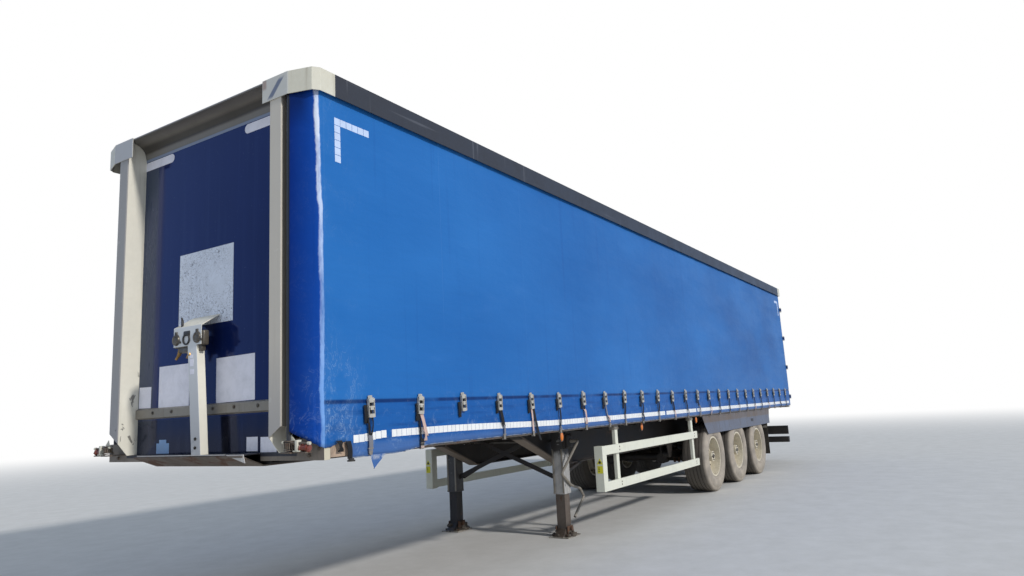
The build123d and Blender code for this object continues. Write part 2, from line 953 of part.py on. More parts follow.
def make_leg_crank():
    box_y = leg_y + sleeve_size / 2
    lean_y = box_y + crank_radius + crank_lean_gap
    with BuildPart() as crank:
        with Locations((leg_x, box_y, gearbox_z)):
            Box(sleeve_size, gearbox_depth, gearbox_height,
                align=(Align.CENTER, Align.MIN, Align.MIN))
        with BuildLine() as rod:
            FilletPolyline(
                (leg_x, box_y + gearbox_depth, shaft_z),
                (leg_x, box_y + gearbox_depth + crank_socket_reach, shaft_z),
                (leg_x + crank_knee_ahead, lean_y, crank_knee_z),
                (leg_x - crank_kink_behind, lean_y, crank_kink_z),
                (leg_x - crank_elbow_behind, lean_y, crank_elbow_z),
                (leg_x - crank_foot_behind, lean_y, crank_foot_z),
                radius=crank_bend,
            )
        with BuildSketch(Plane(origin=rod.line @ 0, z_dir=rod.line % 0)):
            Circle(crank_radius)
        sweep(path=rod.line)
    finish(crank, "leg_crank")


def make_leg_shaft():
    half = leg_y - sleeve_size / 2
    with BuildPart() as shaft:
        with BuildSketch(Plane.XZ):
            with Locations((leg_x - shaft_behind, shaft_z)):
                Circle(shaft_radius)
        extrude(amount=half, both=True)
    finish(shaft, "leg_shaft")


# Wheels
def wheel_plane(x, turn):
    """Plane at a wheel's centre: local X is the radius and local Y the outward width."""
    return Plane(origin=(x, turn * wheel_mid_y, wheel_radius), x_dir=(1, 0, 0), z_dir=(0, 0, turn))


def ring(inner, outer, low, high):
    """Section of a ring from two radii and two places across the wheel."""
    with Locations(((inner + outer) / 2, (low + high) / 2)):
        Rectangle(outer - inner, high - low)


def make_tyre(name, x, turn):
    bead = rim_width / 2 - soft_gap
    half = tyre_width / 2
    seat = rim_radius + soft_gap
    lip = rim_lip_radius + soft_gap
    with BuildPart() as tyre:
        with BuildSketch(wheel_plane(x, turn)):
            with BuildLine():
                Polyline(
                    (seat, -bead),
                    (seat, bead),
                    (lip, bead),
                    (bulge_radius, half),
                    (shoulder_radius, tread_half),
                    (wheel_radius, tread_half - shoulder_step),
                    (wheel_radius, -tread_half + shoulder_step),
                    (shoulder_radius, -tread_half),
                    (bulge_radius, -half),
                    (lip, -bead),
                    close=True,
                )
            make_face()
        revolve(axis=Axis((x, 0, wheel_radius), (0, 1, 0)))
    finish(tyre, name)


def make_wheel(name, x, turn):
    half = rim_width / 2
    bore = spindle_radius + running_gap
    with BuildPart() as wheel:
        with BuildSketch(wheel_plane(x, turn)):
            ring(rim_radius - rim_wall, rim_radius, -half, half)
            ring(rim_radius - rim_wall, rim_lip_radius, half, half + rim_lip)
            ring(rim_radius - rim_wall, rim_lip_radius, -half - rim_lip, -half)
            ring(hub_radius - rim_wall, rim_radius, disc_place - disc_thickness / 2, disc_place + disc_thickness / 2)
            ring(bore, hub_radius, drum_inner_y - wheel_mid_y + disc_thickness, disc_place + disc_thickness / 2)
            ring(bore, hub_cap_radius, disc_place, hub_face_y - wheel_mid_y)
            ring(0, hub_cap_radius, hub_face_y - wheel_mid_y, hub_face_y - wheel_mid_y + rim_wall)
            ring(drum_radius - disc_thickness, drum_radius, drum_inner_y - wheel_mid_y,
                 disc_place - disc_thickness / 2)
        revolve(axis=Axis((x, 0, wheel_radius), (0, 1, 0)))
        with Locations(Plane(origin=(x, turn * (wheel_mid_y + disc_place), wheel_radius), z_dir=(0, 1, 0))):
            with PolarLocations(hand_hole_circle, hand_hole_count):
                Cylinder(hand_hole_radius, disc_thickness, mode=Mode.SUBTRACT)
    finish(wheel, name)


# Axles and suspension
def make_axles():
    with BuildPart() as axles:
        for x in axle_places:
            with BuildSketch(Plane.XZ):
                with Locations((x, wheel_radius)):
                    Circle(axle_radius)
            extrude(amount=axle_end_y, both=True)
            with BuildSketch(Plane.XZ):
                with Locations((x, wheel_radius)):
                    Circle(spindle_radius)
            extrude(amount=hub_face_y - spindle_gap, both=True)
            for turn in (1, -1):
                with BuildSketch(Plane.XZ.offset(-turn * (axle_end_y - shield_thickness / 2))):
                    with Locations((x, wheel_radius)):
                        Circle(shield_radius)
                extrude(amount=shield_thickness / 2, both=True)
                with BuildSketch(Plane.XZ.offset(-turn * rail_y)):
                    with BuildLine():
                        Polyline(
                            (x + arm_pivot_ahead, arm_pivot_z + arm_eye_radius),
                            (x + axle_radius, wheel_radius + axle_radius + arm_crest),
                            (x - axle_radius, wheel_radius + axle_radius + arm_crest),
                            (x - arm_spring_behind + spring_foot, arm_pivot_z - spring_plate),
                            (x - arm_spring_behind - spring_foot, arm_pivot_z - spring_plate),
                            (x - arm_spring_behind - spring_foot, arm_pivot_z - spring_plate - arm_tail),
                            (x - axle_radius - arm_tail, wheel_radius),
                            (x + axle_radius + arm_tail, wheel_radius),
                            (x + arm_pivot_ahead, arm_pivot_z - arm_eye_radius),
                            close=True,
                        )
                    make_face()
                    with Locations((x + arm_pivot_ahead, arm_pivot_z)):
                        Circle(arm_eye_radius)
                        Circle(pivot_radius + soft_gap, mode=Mode.SUBTRACT)
                extrude(amount=arm_width / 2, both=True)
                with BuildSketch(Plane.XY.offset(arm_pivot_z - spring_plate)):
                    with Locations((x - arm_spring_behind, turn * rail_y)):
                        Circle(spring_foot)
                extrude(amount=spring_plate)
    finish(axles, "axles")


def make_hangers():
    plate_y = arm_width / 2 + hanger_gap + hanger_wall / 2
    with BuildPart() as hangers:
        for x in axle_places:
            pivot = x + arm_pivot_ahead
            for side_y in (-plate_y, plate_y):
                with BuildSketch(Plane.XZ.offset(-rail_y - side_y)):
                    with BuildLine():
                        Polyline(
                            (pivot - hanger_head, rail_deep_underside),
                            (pivot + hanger_head, rail_deep_underside),
                            (pivot + arm_eye_radius, arm_pivot_z - arm_eye_radius),
                            (pivot - arm_eye_radius, arm_pivot_z - arm_eye_radius),
                            close=True,
                        )
                    make_face()
                extrude(amount=hanger_wall / 2, both=True)
            with BuildSketch(Plane.XZ.offset(-rail_y)):
                with Locations((pivot, arm_pivot_z)):
                    Circle(pivot_radius)
            extrude(amount=plate_y + hanger_wall, both=True)
        mirror(about=Plane.XZ)
    finish(hangers, "hangers")


def make_air_springs():
    foot = arm_pivot_z + soft_gap
    fold = (rail_deep_underside - foot) / 6
    with BuildPart() as springs:
        for x in axle_places:
            with BuildSketch(Plane(origin=(x - arm_spring_behind, rail_y, 0), x_dir=(1, 0, 0), z_dir=(0, -1, 0))):
                with BuildLine():
                    Polyline(
                        (0, foot),
                        (spring_foot, foot),
                        (spring_radius, foot + fold),
                        (spring_radius, foot + 2 * fold),
                        (spring_waist, foot + 3 * fold),
                        (spring_radius, foot + 4 * fold),
                        (spring_radius, foot + 5 * fold),
                        (spring_foot, rail_deep_underside),
                        (0, rail_deep_underside),
                        close=True,
                    )
                make_face()
            revolve(axis=Axis((x - arm_spring_behind, rail_y, 0), (0, 0, 1)))
        mirror(about=Plane.XZ)
    finish(springs, "air_springs")


def make_brake_chambers():
    with BuildPart() as chambers:
        for x in axle_places:
            with BuildSketch(Plane.YZ.offset(x + chamber_ahead)):
                with Locations((chamber_y, wheel_radius), (-chamber_y, wheel_radius)):
                    Circle(chamber_radius)
            extrude(amount=chamber_length)
            with BuildSketch(Plane.YZ.offset(x + axle_radius + soft_gap)):
                with Locations((chamber_y, wheel_radius), (-chamber_y, wheel_radius)):
                    Circle(pivot_radius)
            extrude(amount=chamber_ahead - axle_radius - soft_gap)
    finish(chambers, "brake_chambers")


def make_air_tanks():
    with BuildPart() as tanks:
        for x in crossmember_places[members_ahead_count:members_ahead_count + tank_count]:
            with BuildSketch(Plane.XZ):
                with Locations((x, tank_z)):
                    Circle(tank_radius)
            extrude(amount=tank_length / 2, both=True)
            with Locations((x, tank_length / 4, tank_z), (x, -tank_length / 4, tank_z)):
                Box(crossmember_width / 2, crossmember_width, crossmember_underside - tank_z,
                    align=(Align.CENTER, Align.CENTER, Align.MIN))
    finish(tanks, "air_tanks")


# Things along the sides
def make_side_guards():
    face = guard_face_y
    start = front - guard_front_setback
    end = front - guard_rear_setback
    with BuildPart() as guards:
        with Locations((start, face, guard_foot)):
            Box(guard_post_size, guard_post_size, guard_top - guard_foot,
                align=(Align.MAX, Align.MAX, Align.MIN))
        for z in (guard_foot, guard_top - guard_rail_height):
            with Locations((end, face, z)):
                Box(start - end, guard_rail_thickness, guard_rail_height,
                    align=(Align.MIN, Align.MAX, Align.MIN))
        for setback in guard_upright_setbacks:
            with Locations((front - setback, face - guard_rail_thickness, guard_foot)):
                Box(guard_upright_width, guard_upright_depth, rave_underside - guard_foot,
                    align=(Align.CENTER, Align.MAX, Align.MIN))
        mirror(about=Plane.XZ)
    finish(guards, "side_guards")


def make_valances():
    start = front - valance_front_setback
    end = front - valance_rear_setback
    inner = valance_y - valance_lean
    with BuildPart() as valances:
        with BuildSketch(Plane.YZ.offset(end)):
            with BuildLine():
                Polyline(
                    (inner - 2 * valance_lean, rave_underside),
                    (inner, rave_underside),
                    (inner, valance_fold),
                    (valance_y, valance_foot),
                    (valance_y - valance_thickness, valance_foot),
                    (inner - valance_thickness, valance_fold),
                    (inner - valance_thickness, rave_underside - valance_thickness),
                    (inner - 2 * valance_lean, rave_underside - valance_thickness),
                    close=True,
                )
            make_face()
        extrude(amount=start - end)
        with BuildSketch(Plane.XZ):
            with BuildLine():
                Polyline(
                    (start, rave_underside - valance_thickness),
                    (start - valance_slant, valance_foot),
                    (start, valance_foot),
                    close=True,
                )
            make_face()
            with BuildLine():
                Polyline(
                    (end, rave_underside - valance_thickness),
                    (end + valance_slant / 2, valance_foot),
                    (end, valance_foot),
                    close=True,
                )
            make_face()
        extrude(amount=side, both=True, mode=Mode.SUBTRACT)
        mirror(about=Plane.XZ)
    finish(valances, "wheel_valances")


def make_mud_flaps():
    x = front - flap_setback
    bar_start = rail_y + rail_web / 2
    with BuildPart() as flaps:
        with Locations((x, flap_inner_y, flap_foot)):
            Box(flap_thickness, flap_outer_y - flap_inner_y, flap_top - flap_foot,
                align=(Align.CENTER, Align.MIN, Align.MIN))
        with BuildSketch(Plane.XZ.offset(-bar_start)):
            with Locations((x, flap_top)):
                Circle(flap_bar_radius)
        extrude(amount=bar_start - flap_outer_y)
        mirror(about=Plane.XZ)
    finish(flaps, "mud_flaps")


def make_side_markers():
    with BuildPart() as markers:
        for setback in marker_setbacks:
            with Locations((front - setback, body_inner_y - strap_hook, rave_underside)):
                Box(marker_width, marker_depth, marker_height, align=(Align.CENTER, Align.MAX, Align.MAX))
        fillet(markers.edges().filter_by(Axis.Y), radius=marker_depth / 4)
        mirror(about=Plane.XZ)
    finish(markers, "side_markers")


# Rear end
def make_rear_frame():
    with BuildPart() as frame:
        with BuildSketch(Plane.YZ.offset(frame_back)):
            with Locations((0, frame_foot)):
                Rectangle(2 * body_inner_y, shelf_underside - frame_foot, align=(Align.CENTER, Align.MIN))
            with Locations((0, deck_top)):
                Rectangle(2 * frame_post_inner_y, frame_header_underside - deck_top,
                          align=(Align.CENTER, Align.MIN), mode=Mode.SUBTRACT)
        extrude(amount=frame_depth)
        for turn in (1, -1):
            for z in hinge_heights:
                for ear_z in (z - knuckle_height / 2 - ear_height - hinge_play, z + knuckle_height / 2 + hinge_play):
                    with BuildSketch(Plane.XY.offset(ear_z)):
                        with BuildLine():
                            Polyline(
                                (frame_back + ear_width, turn * body_inner_y),
                                (frame_back + ear_width, turn * (hinge_y + knuckle_radius)),
                                (hinge_x - knuckle_radius, turn * (hinge_y + knuckle_radius)),
                                (hinge_x - knuckle_radius, turn * (hinge_y - knuckle_radius)),
                                (door_back, turn * (door_outer_y + ear_clearance)),
                                (frame_back, turn * (door_outer_y + ear_clearance)),
                                (frame_back, turn * body_inner_y),
                                close=True,
                            )
                        make_face()
                    extrude(amount=ear_height)
                with BuildSketch(Plane.XY.offset(z - knuckle_height / 2 - hinge_play)):
                    with Locations((hinge_x, turn * hinge_y)):
                        Circle(hinge_pin_radius)
                extrude(amount=knuckle_height + 2 * hinge_play)
        for inset, reach, handle_z in lock_bars:
            for turn in (1, -1):
                with Locations((frame_back, turn * (hinge_y - inset), door_top + door_gap)):
                    Box(keeper_depth, keeper_width, keeper_height, align=(Align.MAX, Align.CENTER, Align.MIN))
    finish(frame, "rear_frame")


def make_door(name, turn):
    with BuildPart() as door:
        with Locations((door_back, turn * door_gap, door_foot)):
            Box(door_thickness, door_outer_y - door_gap, door_top - door_foot,
                align=(Align.MIN, Align.MIN if turn > 0 else Align.MAX, Align.MIN))
        for z in hinge_heights:
            with Locations((door_back, turn * hinge_y, z)):
                Box(blade_thickness, blade_length, knuckle_height,
                    align=(Align.MAX, Align.MAX if turn > 0 else Align.MIN, Align.CENTER))
            with BuildSketch(Plane.XY.offset(z - knuckle_height / 2)):
                with Locations((hinge_x, turn * hinge_y)):
                    Circle(knuckle_radius)
            extrude(amount=knuckle_height)
        with BuildSketch(Plane.XY.offset(door_foot)):
            with Locations((hinge_x, turn * hinge_y)):
                Circle(hinge_pin_radius + running_gap)
        extrude(amount=door_top - door_foot, mode=Mode.SUBTRACT)
    finish(door, name)


def make_lock_gear(name, turn):
    with BuildPart() as gear:
        for inset, reach, handle_z in lock_bars:
            y = turn * (hinge_y - inset)
            with BuildSketch(Plane.XY.offset(lock_bar_foot)):
                with Locations((lock_bar_x, y)):
                    Circle(lock_bar_radius)
            extrude(amount=lock_bar_top - lock_bar_foot)
            with Locations(*[(door_back, y, z) for z in lock_guides]):
                Box(door_back - lock_bar_x, lock_guide_width, lock_guide_height,
                    align=(Align.MAX, Align.CENTER, Align.CENTER))
            with Locations((lock_bar_x, y, handle_z)):
                Box(lock_bar_radius, lock_handle_length, 2 * lock_bar_radius,
                    align=(Align.CENTER, Align.MIN if turn * reach > 0 else Align.MAX, Align.CENTER))
    finish(gear, name)


def make_rear_bumper():
    upright_x = frame_back + bumper_upright / 2
    with BuildPart() as bumper:
        with Locations((bumper_back, 0, bumper_foot)):
            Box(bumper_depth, 2 * bumper_half_width, bumper_height, align=(Align.MIN, Align.CENTER, Align.MIN))
        with Locations((frame_back, 0, board_foot)):
            Box(board_depth, 2 * bumper_half_width, board_height, align=(Align.MAX, Align.CENTER, Align.MIN))
        with Locations((frame_back, rail_y, bumper_foot), (frame_back, -rail_y, bumper_foot)):
            Box(bumper_upright, rail_width / 2, frame_foot - bumper_foot,
                align=(Align.MIN, Align.CENTER, Align.MIN))
        fillet(bumper.edges().filter_by(Axis.Y).group_by(Axis.X)[0], radius=bumper_round)
    finish(bumper, "rear_bumper")


def make_rear_lamps():
    lamp_y = bumper_half_width - lamp_width / 2 - lamp_depth
    with BuildPart() as lamps:
        with Locations(*[(frame_back - board_depth, turn * lamp_y, board_foot + board_height / 2)
                         for turn in (1, -1)]):
            Box(frame_back - board_depth - bumper_back, lamp_width, lamp_height,
                align=(Align.MAX, Align.CENTER, Align.CENTER))
    finish(lamps, "rear_lamps")


make_main_rails()
make_crossmembers()
make_side_raves()
make_deck()
make_coupler_plate()
make_kingpin()
make_bolster()
make_headboard()
make_headboard_rail()
make_front_posts()
make_front_header()
make_corner_caps()
make_cant_rails()
make_roof_sheet()
make_roof_bows()
make_curtain_left()
make_curtain_right()
make_curtain_poles()
make_curtain_ratchets()
make_side_posts()
make_curtain_buckles()
make_coupling_stand()
make_air_couplings()
make_leg_sleeves()
make_leg_tubes()
make_leg_bracing()
make_leg_crank()
make_leg_shaft()
for number, axle_x in enumerate(axle_places, start=1):
    for side_name, side_turn in (("left", 1), ("right", -1)):
        make_tyre(f"tyre_{side_name}_{number}", axle_x, side_turn)
        make_wheel(f"wheel_{side_name}_{number}", axle_x, side_turn)
make_axles()
make_hangers()
make_air_springs()
make_brake_chambers()
make_air_tanks()
make_side_guards()
make_valances()
make_mud_flaps()
make_side_markers()
make_rear_frame()
make_door("door_left", 1)
make_door("door_right", -1)
make_lock_gear("lock_gear_left", 1)
make_lock_gear("lock_gear_right", -1)
make_rear_bumper()
make_rear_lamps()
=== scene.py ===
"""Finishes and fine pieces of a curtain-sided semi trailer, laid out as an add-on."""
import math
import random

import bmesh
import bpy
from bpy.props import FloatProperty, FloatVectorProperty, IntProperty, PointerProperty
from mathutils import Matrix, Vector, noise


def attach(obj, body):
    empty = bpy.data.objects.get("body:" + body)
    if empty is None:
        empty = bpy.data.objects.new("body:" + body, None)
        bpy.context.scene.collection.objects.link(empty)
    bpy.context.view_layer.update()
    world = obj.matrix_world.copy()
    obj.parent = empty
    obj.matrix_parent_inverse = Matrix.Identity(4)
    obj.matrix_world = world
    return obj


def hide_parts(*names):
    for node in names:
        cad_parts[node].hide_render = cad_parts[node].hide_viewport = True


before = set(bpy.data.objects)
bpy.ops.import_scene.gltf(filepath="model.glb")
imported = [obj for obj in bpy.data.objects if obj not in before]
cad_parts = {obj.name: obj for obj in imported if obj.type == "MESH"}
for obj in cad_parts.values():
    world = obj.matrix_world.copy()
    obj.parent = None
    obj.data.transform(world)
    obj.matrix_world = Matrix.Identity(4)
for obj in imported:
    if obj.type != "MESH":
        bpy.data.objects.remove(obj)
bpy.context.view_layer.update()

bl_info = {
    "name": "Semi trailer finishes",
    "version": (1, 0, 0),
    "blender": (4, 5, 0),
    "location": "3D View > Sidebar > Trailer",
    "description": "Builds the curtains, straps, wheels and finishes of a curtain-sided semi trailer",
    "category": "Object",
}

# Places are in metres: X forwards, Y to the left and Z up from the ground, halfway along the trailer
BODY = "trailer"
SIDES = (("left", 1), ("right", -1))
FAR_SIDE = (-0.5, -0.6)
AXLES = (-1.307, -2.617, -3.927)
WHEEL_Y = 1.0205
WHEEL_Z = 0.52
FRONT = 6.8
BOARD_X = 6.632
LIP_X = 6.787
POLE_X = 6.766
POLE_Y = 1.046
LEG_X = 2.75
LEG_Y = 0.735
SPRING_Y = 0.6
GUARD_FRONT_X = 2.7
GUARD_UPRIGHTS = (2.25, -0.32)
MARKERS = (3.55, 1.53, -0.5)
DOOR_FACE_X = -6.764

# Cloth: its plane and edges, the fold round the front corner, the sag and the tear near the front
CURTAIN_Y = 1.243
CURTAIN_TOP = 3.722
CURTAIN_LENGTH = 13.61
OPEN_EDGE_X = 6.63
REAR_EDGE_X = -6.7
HEM_Z = 1.165
CREASE_Z = 1.495
FOLD_X = 6.702
FOLD_LEAN = 0.015
FOLD_BOW = 0.016
FOLD_WAVE = 1.3
SAG_FROM_X = 5.55
SAG_TO_X = 6.05
SAG_DEPTH = 0.034
CLOTH_THICKNESS = 0.0012
TEAR_X = 6.43
CLOTH_SEEDS = {1: 3.0, -1: 11.0}

# Reflective tape, corner marks and buckles on the cloth
TAPE_Z = 1.215
TAPE_LIFT = 0.0016
TAPE_LENGTH = 0.0495
TAPE_PITCH = 0.0525
MARK_TOP = 3.436
MARK_HEIGHT = 0.05
MARK_LENGTH = 0.053
MARK_STEP_X = 0.0565
MARK_STEP_Z = 0.0535
MARK_FRONT_X = 6.546
BUCKLE_FIRST_X = 6.255
BUCKLE_PITCH = 0.52354
BUCKLE_Y = 1.2495
BUCKLE_Z = 1.512
STRAP_Y = 1.2525
STRAP_REACH = 1.269
STRAP_TOP = 1.42
HOOK_Y = 1.2555
WEBBING_THICKNESS = 0.0025


def linear(red, green, blue):
    """Screen colour from 0 to 255 as the renderer's linear colour."""
    def one(value):
        value = value / 255
        return value / 12.92 if value <= 0.04045 else ((value + 0.055) / 1.055) ** 2.4
    return (one(red), one(green), one(blue), 1.0)


def colour_property(name, description, value):
    """Colour with four channels for the property group."""
    return FloatVectorProperty(name=name, description=description, default=value, size=4,
                               subtype="COLOR", min=0.0, max=1.0)


class TrailerLook(bpy.types.PropertyGroup):
    """Colours and sizes that a user may change before the pieces are built."""
    curtain: colour_property("Curtain", "Colour of the coated curtain cloth", linear(38, 106, 180))
    board: colour_property("Front wall", "Colour of the laminate front wall", linear(10, 24, 68))
    guard: colour_property("Side guard", "Colour of the side guards", linear(232, 233, 218))
    wheel: colour_property("Wheels", "Colour of the wheel paint", linear(232, 224, 204))
    door: colour_property("Doors", "Colour of the rear doors", linear(38, 66, 128))
    buckle_count: IntProperty(name="Buckles", description="Buckles along each side",
                              default=25, min=2, max=40)
    curtain_wave: FloatProperty(name="Curtain wave", description="How far the cloth swells from its plane",
                                default=0.0045, min=0.0, max=0.01, unit="LENGTH")
    strap_width: FloatProperty(name="Strap width", description="Width of the webbing straps",
                               default=0.042, min=0.02, max=0.06, unit="LENGTH")
    tape_height: FloatProperty(name="Tape height", description="Height of the reflective tape",
                               default=0.05, min=0.02, max=0.1, unit="LENGTH")


# Node trees
def add_node(tree, kind, inputs=None, **settings):
    """Shader node whose inputs are values or other nodes' outputs."""
    node = tree.nodes.new(kind)
    for name, value in settings.items():
        setattr(node, name, value)
    for name, value in (inputs or {}).items():
        if isinstance(value, bpy.types.NodeSocket):
            tree.links.new(value, node.inputs[name])
        else:
            node.inputs[name].default_value = value
    return node


def calc(tree, operation, first, second=0.0, clamp=False):
    """Result of a sum on two values or outputs."""
    node = add_node(tree, "ShaderNodeMath", {0: first, 1: second}, operation=operation, use_clamp=clamp)
    return node.outputs[0]


def plus(tree, first, second, clamp=False):
    """First value and second value together."""
    return calc(tree, "ADD", first, second, clamp)


def minus(tree, first, second):
    """First value less the second one."""
    return calc(tree, "SUBTRACT", first, second)


def times(tree, first, second, clamp=False):
    """First value by the second one."""
    return calc(tree, "MULTIPLY", first, second, clamp)


def blend_colour(tree, share, first, second, mode="MIX"):
    """First colour turning into the second one as the share grows."""
    node = add_node(tree, "ShaderNodeMix", data_type="RGBA", blend_type=mode, clamp_factor=True)
    for socket, value in ((node.inputs[0], share), (node.inputs[6], first), (node.inputs[7], second)):
        if isinstance(value, bpy.types.NodeSocket):
            tree.links.new(value, socket)
        else:
            socket.default_value = value
    return node.outputs[2]


def tint(tree, shown, mask, colour, share):
    """Colour laid over another one where the mask is, with the share as its strength."""
    return blend_colour(tree, times(tree, mask, share), shown, colour)


def remap(tree, value, low, high, out_low=0.0, out_high=1.0, smooth=False):
    """Value from low to high spread over out_low to out_high."""
    kind = "SMOOTHSTEP" if smooth else "LINEAR"
    node = add_node(tree, "ShaderNodeMapRange", {0: value, 1: low, 2: high, 3: out_low, 4: out_high},
                    interpolation_type=kind)
    return node.outputs[0]


def places(tree, scale=(1, 1, 1), turn=(0, 0, 0)):
    """Object coordinates, stretched by scale."""
    coords = add_node(tree, "ShaderNodeTexCoord").outputs["Object"]
    inputs = {"Vector": coords, "Scale": scale, "Rotation": turn}
    return add_node(tree, "ShaderNodeMapping", inputs).outputs[0]


def axes(tree):
    """X, Y and Z of the object coordinates."""
    coords = add_node(tree, "ShaderNodeTexCoord").outputs["Object"]
    return add_node(tree, "ShaderNodeSeparateXYZ", {0: coords}).outputs


def cloud(tree, vector, scale, detail=4.0, rough=0.55, bend=0.0):
    """Noise from 0 to 1."""
    return add_node(tree, "ShaderNodeTexNoise", {"Vector": vector, "Scale": scale, "Detail": detail,
                                                 "Roughness": rough, "Distortion": bend}).outputs[0]


def band(tree, value, middle, half, soft):
    """1 within half of middle, fading to 0 over soft."""
    away = calc(tree, "ABSOLUTE", minus(tree, value, middle))
    return remap(tree, away, half, half + soft, 1.0, 0.0, smooth=True)


def new_group(name, inputs, outputs):
    """Empty node group with its input and output sockets."""
    tree = bpy.data.node_groups.new(name, "ShaderNodeTree")
    kinds = {"colour": "NodeSocketColor", "value": "NodeSocketFloat"}
    for socket, kind, value in inputs:
        made = tree.interface.new_socket(name=socket, in_out="INPUT", socket_type=kinds[kind])
        made.default_value = value
    for socket, kind in outputs:
        tree.interface.new_socket(name=socket, in_out="OUTPUT", socket_type=kinds[kind])
    start = tree.nodes.new("NodeGroupInput")
    end = tree.nodes.new("NodeGroupOutput")
    return tree, start.outputs, end.inputs


def weathering_group():
    """Mottled paint with dust, rain streaks and road dirt near the ground."""
    tree, given, out = new_group(
        "Weathering",
        (("Colour", "colour", (0.5, 0.5, 0.5, 1)), ("Dirt colour", "colour", (0.2, 0.18, 0.15, 1)),
         ("Dirt", "value", 0.3), ("Streaks", "value", 0.2), ("Scale", "value", 3.0),
         ("Road dirt", "value", 0.0)),
        (("Colour", "colour"), ("Mask", "value"), ("Height", "value")))
    coords = places(tree)
    broad = cloud(tree, coords, given["Scale"], 6.0, 0.6)
    fine_scale = times(tree, given["Scale"], 9.0)
    fine = cloud(tree, coords, fine_scale, 5.0, 0.65)
    runs = cloud(tree, places(tree, (1, 1, 0.06)), times(tree, given["Scale"], 7.0), 4.0, 0.6)
    patches = remap(tree, plus(tree, broad, times(tree, fine, 0.4)), 0.55, 0.95)
    dust = times(tree, patches, given["Dirt"], clamp=True)
    streaks = times(tree, remap(tree, runs, 0.5, 0.75), given["Streaks"], clamp=True)
    height = axes(tree)["Z"]
    low = times(tree, remap(tree, height, 0.1, 1.2, 1.0, 0.0), given["Road dirt"])
    road = times(tree, low, remap(tree, fine, 0.3, 0.65), clamp=True)
    mask = plus(tree, calc(tree, "MAXIMUM", dust, streaks), road, clamp=True)
    shade = remap(tree, broad, 0.3, 0.7, 0.88, 1.1)
    tinted = blend_colour(tree, 1.0, given["Colour"], shade, "MULTIPLY")
    tree.links.new(blend_colour(tree, mask, tinted, given["Dirt colour"]), out["Colour"])
    tree.links.new(mask, out["Mask"])
    tree.links.new(plus(tree, fine, times(tree, mask, 0.5)), out["Height"])
    return tree


def rust_group():
    """Patches of rust: how much, their colour and their height."""
    tree, given, out = new_group(
        "Rust", (("Amount", "value", 0.3), ("Scale", "value", 6.0)),
        (("Mask", "value"), ("Colour", "colour"), ("Height", "value")))
    coords = places(tree)
    shape = cloud(tree, coords, given["Scale"], 8.0, 0.7, 0.4)
    grain = cloud(tree, coords, times(tree, given["Scale"], 14.0), 4.0, 0.7)
    level = minus(tree, 0.85, times(tree, given["Amount"], 0.6))
    raised = minus(tree, plus(tree, shape, times(tree, grain, 0.15)), level)
    mask = remap(tree, raised, 0.0, 0.09)
    tree.links.new(mask, out["Mask"])
    tree.links.new(blend_colour(tree, grain, linear(44, 33, 27), linear(118, 84, 62)), out["Colour"])
    tree.links.new(times(tree, grain, mask), out["Height"])
    return tree


def scratches_group():
    """Fine scratches that run along the trailer and downwards."""
    tree, given, out = new_group("Scratches", (("Amount", "value", 0.3), ("Scale", "value", 12.0)),
                                 (("Mask", "value"),))
    lines = []
    for stretch, turn in (((0.05, 1, 1.6), (0, 0.06, 0)), ((1.6, 1, 0.05), (0.0, 0.1, 0))):
        line = cloud(tree, places(tree, stretch, turn), given["Scale"], 2.0, 0.5)
        lines.append(remap(tree, line, 0.66, 0.7))
    patch = remap(tree, cloud(tree, places(tree), 1.7, 3.0), 0.45, 0.7)
    both = calc(tree, "MAXIMUM", lines[0], lines[1])
    amount = times(tree, given["Amount"], patch)
    tree.links.new(times(tree, both, amount, clamp=True), out["Mask"])
    return tree


def weave_group():
    """Plain weave of threads."""
    tree, given, out = new_group("Weave", (("Scale", "value", 300.0),), (("Height", "value"),))
    coords = axes(tree)
    threads = []
    for axis in ("X", "Z"):
        turn = times(tree, coords[axis], given["Scale"])
        threads.append(calc(tree, "SINE", turn))
    tree.links.new(times(tree, threads[0], threads[1]), out["Height"])
    return tree


GROUPS = {}


def use_group(tree, name, inputs):
    """Outputs of a node group, which is made at its first use."""
    makers = {"Weathering": weathering_group, "Rust": rust_group, "Scratches": scratches_group,
              "Weave": weave_group}
    if name not in GROUPS:
        GROUPS[name] = makers[name]()
    node = add_node(tree, "ShaderNodeGroup")
    node.node_tree = GROUPS[name]
    for socket, value in inputs.items():
        if isinstance(value, bpy.types.NodeSocket):
            tree.links.new(value, node.inputs[socket])
        else:
            node.inputs[socket].default_value = value
    return node.outputs


def new_material(name):
    """Material with its node tree and its shader."""
    material = bpy.data.materials.new(name)
    material.use_nodes = True
    tree = material.node_tree
    shader = tree.nodes["Principled BSDF"]
    return material, tree, shader


def connect(tree, shader, colour, rough, height=None, strength=0.2, distance=0.001):
    """Joins colour, roughness and height to the shader."""
    tree.links.new(colour, shader.inputs["Base Color"])
    tree.links.new(rough, shader.inputs["Roughness"])
    if height is not None:
        inputs = {"Strength": strength, "Distance": distance, "Height": height}
        bump = add_node(tree, "ShaderNodeBump", inputs)
        tree.links.new(bump.outputs[0], shader.inputs["Normal"])


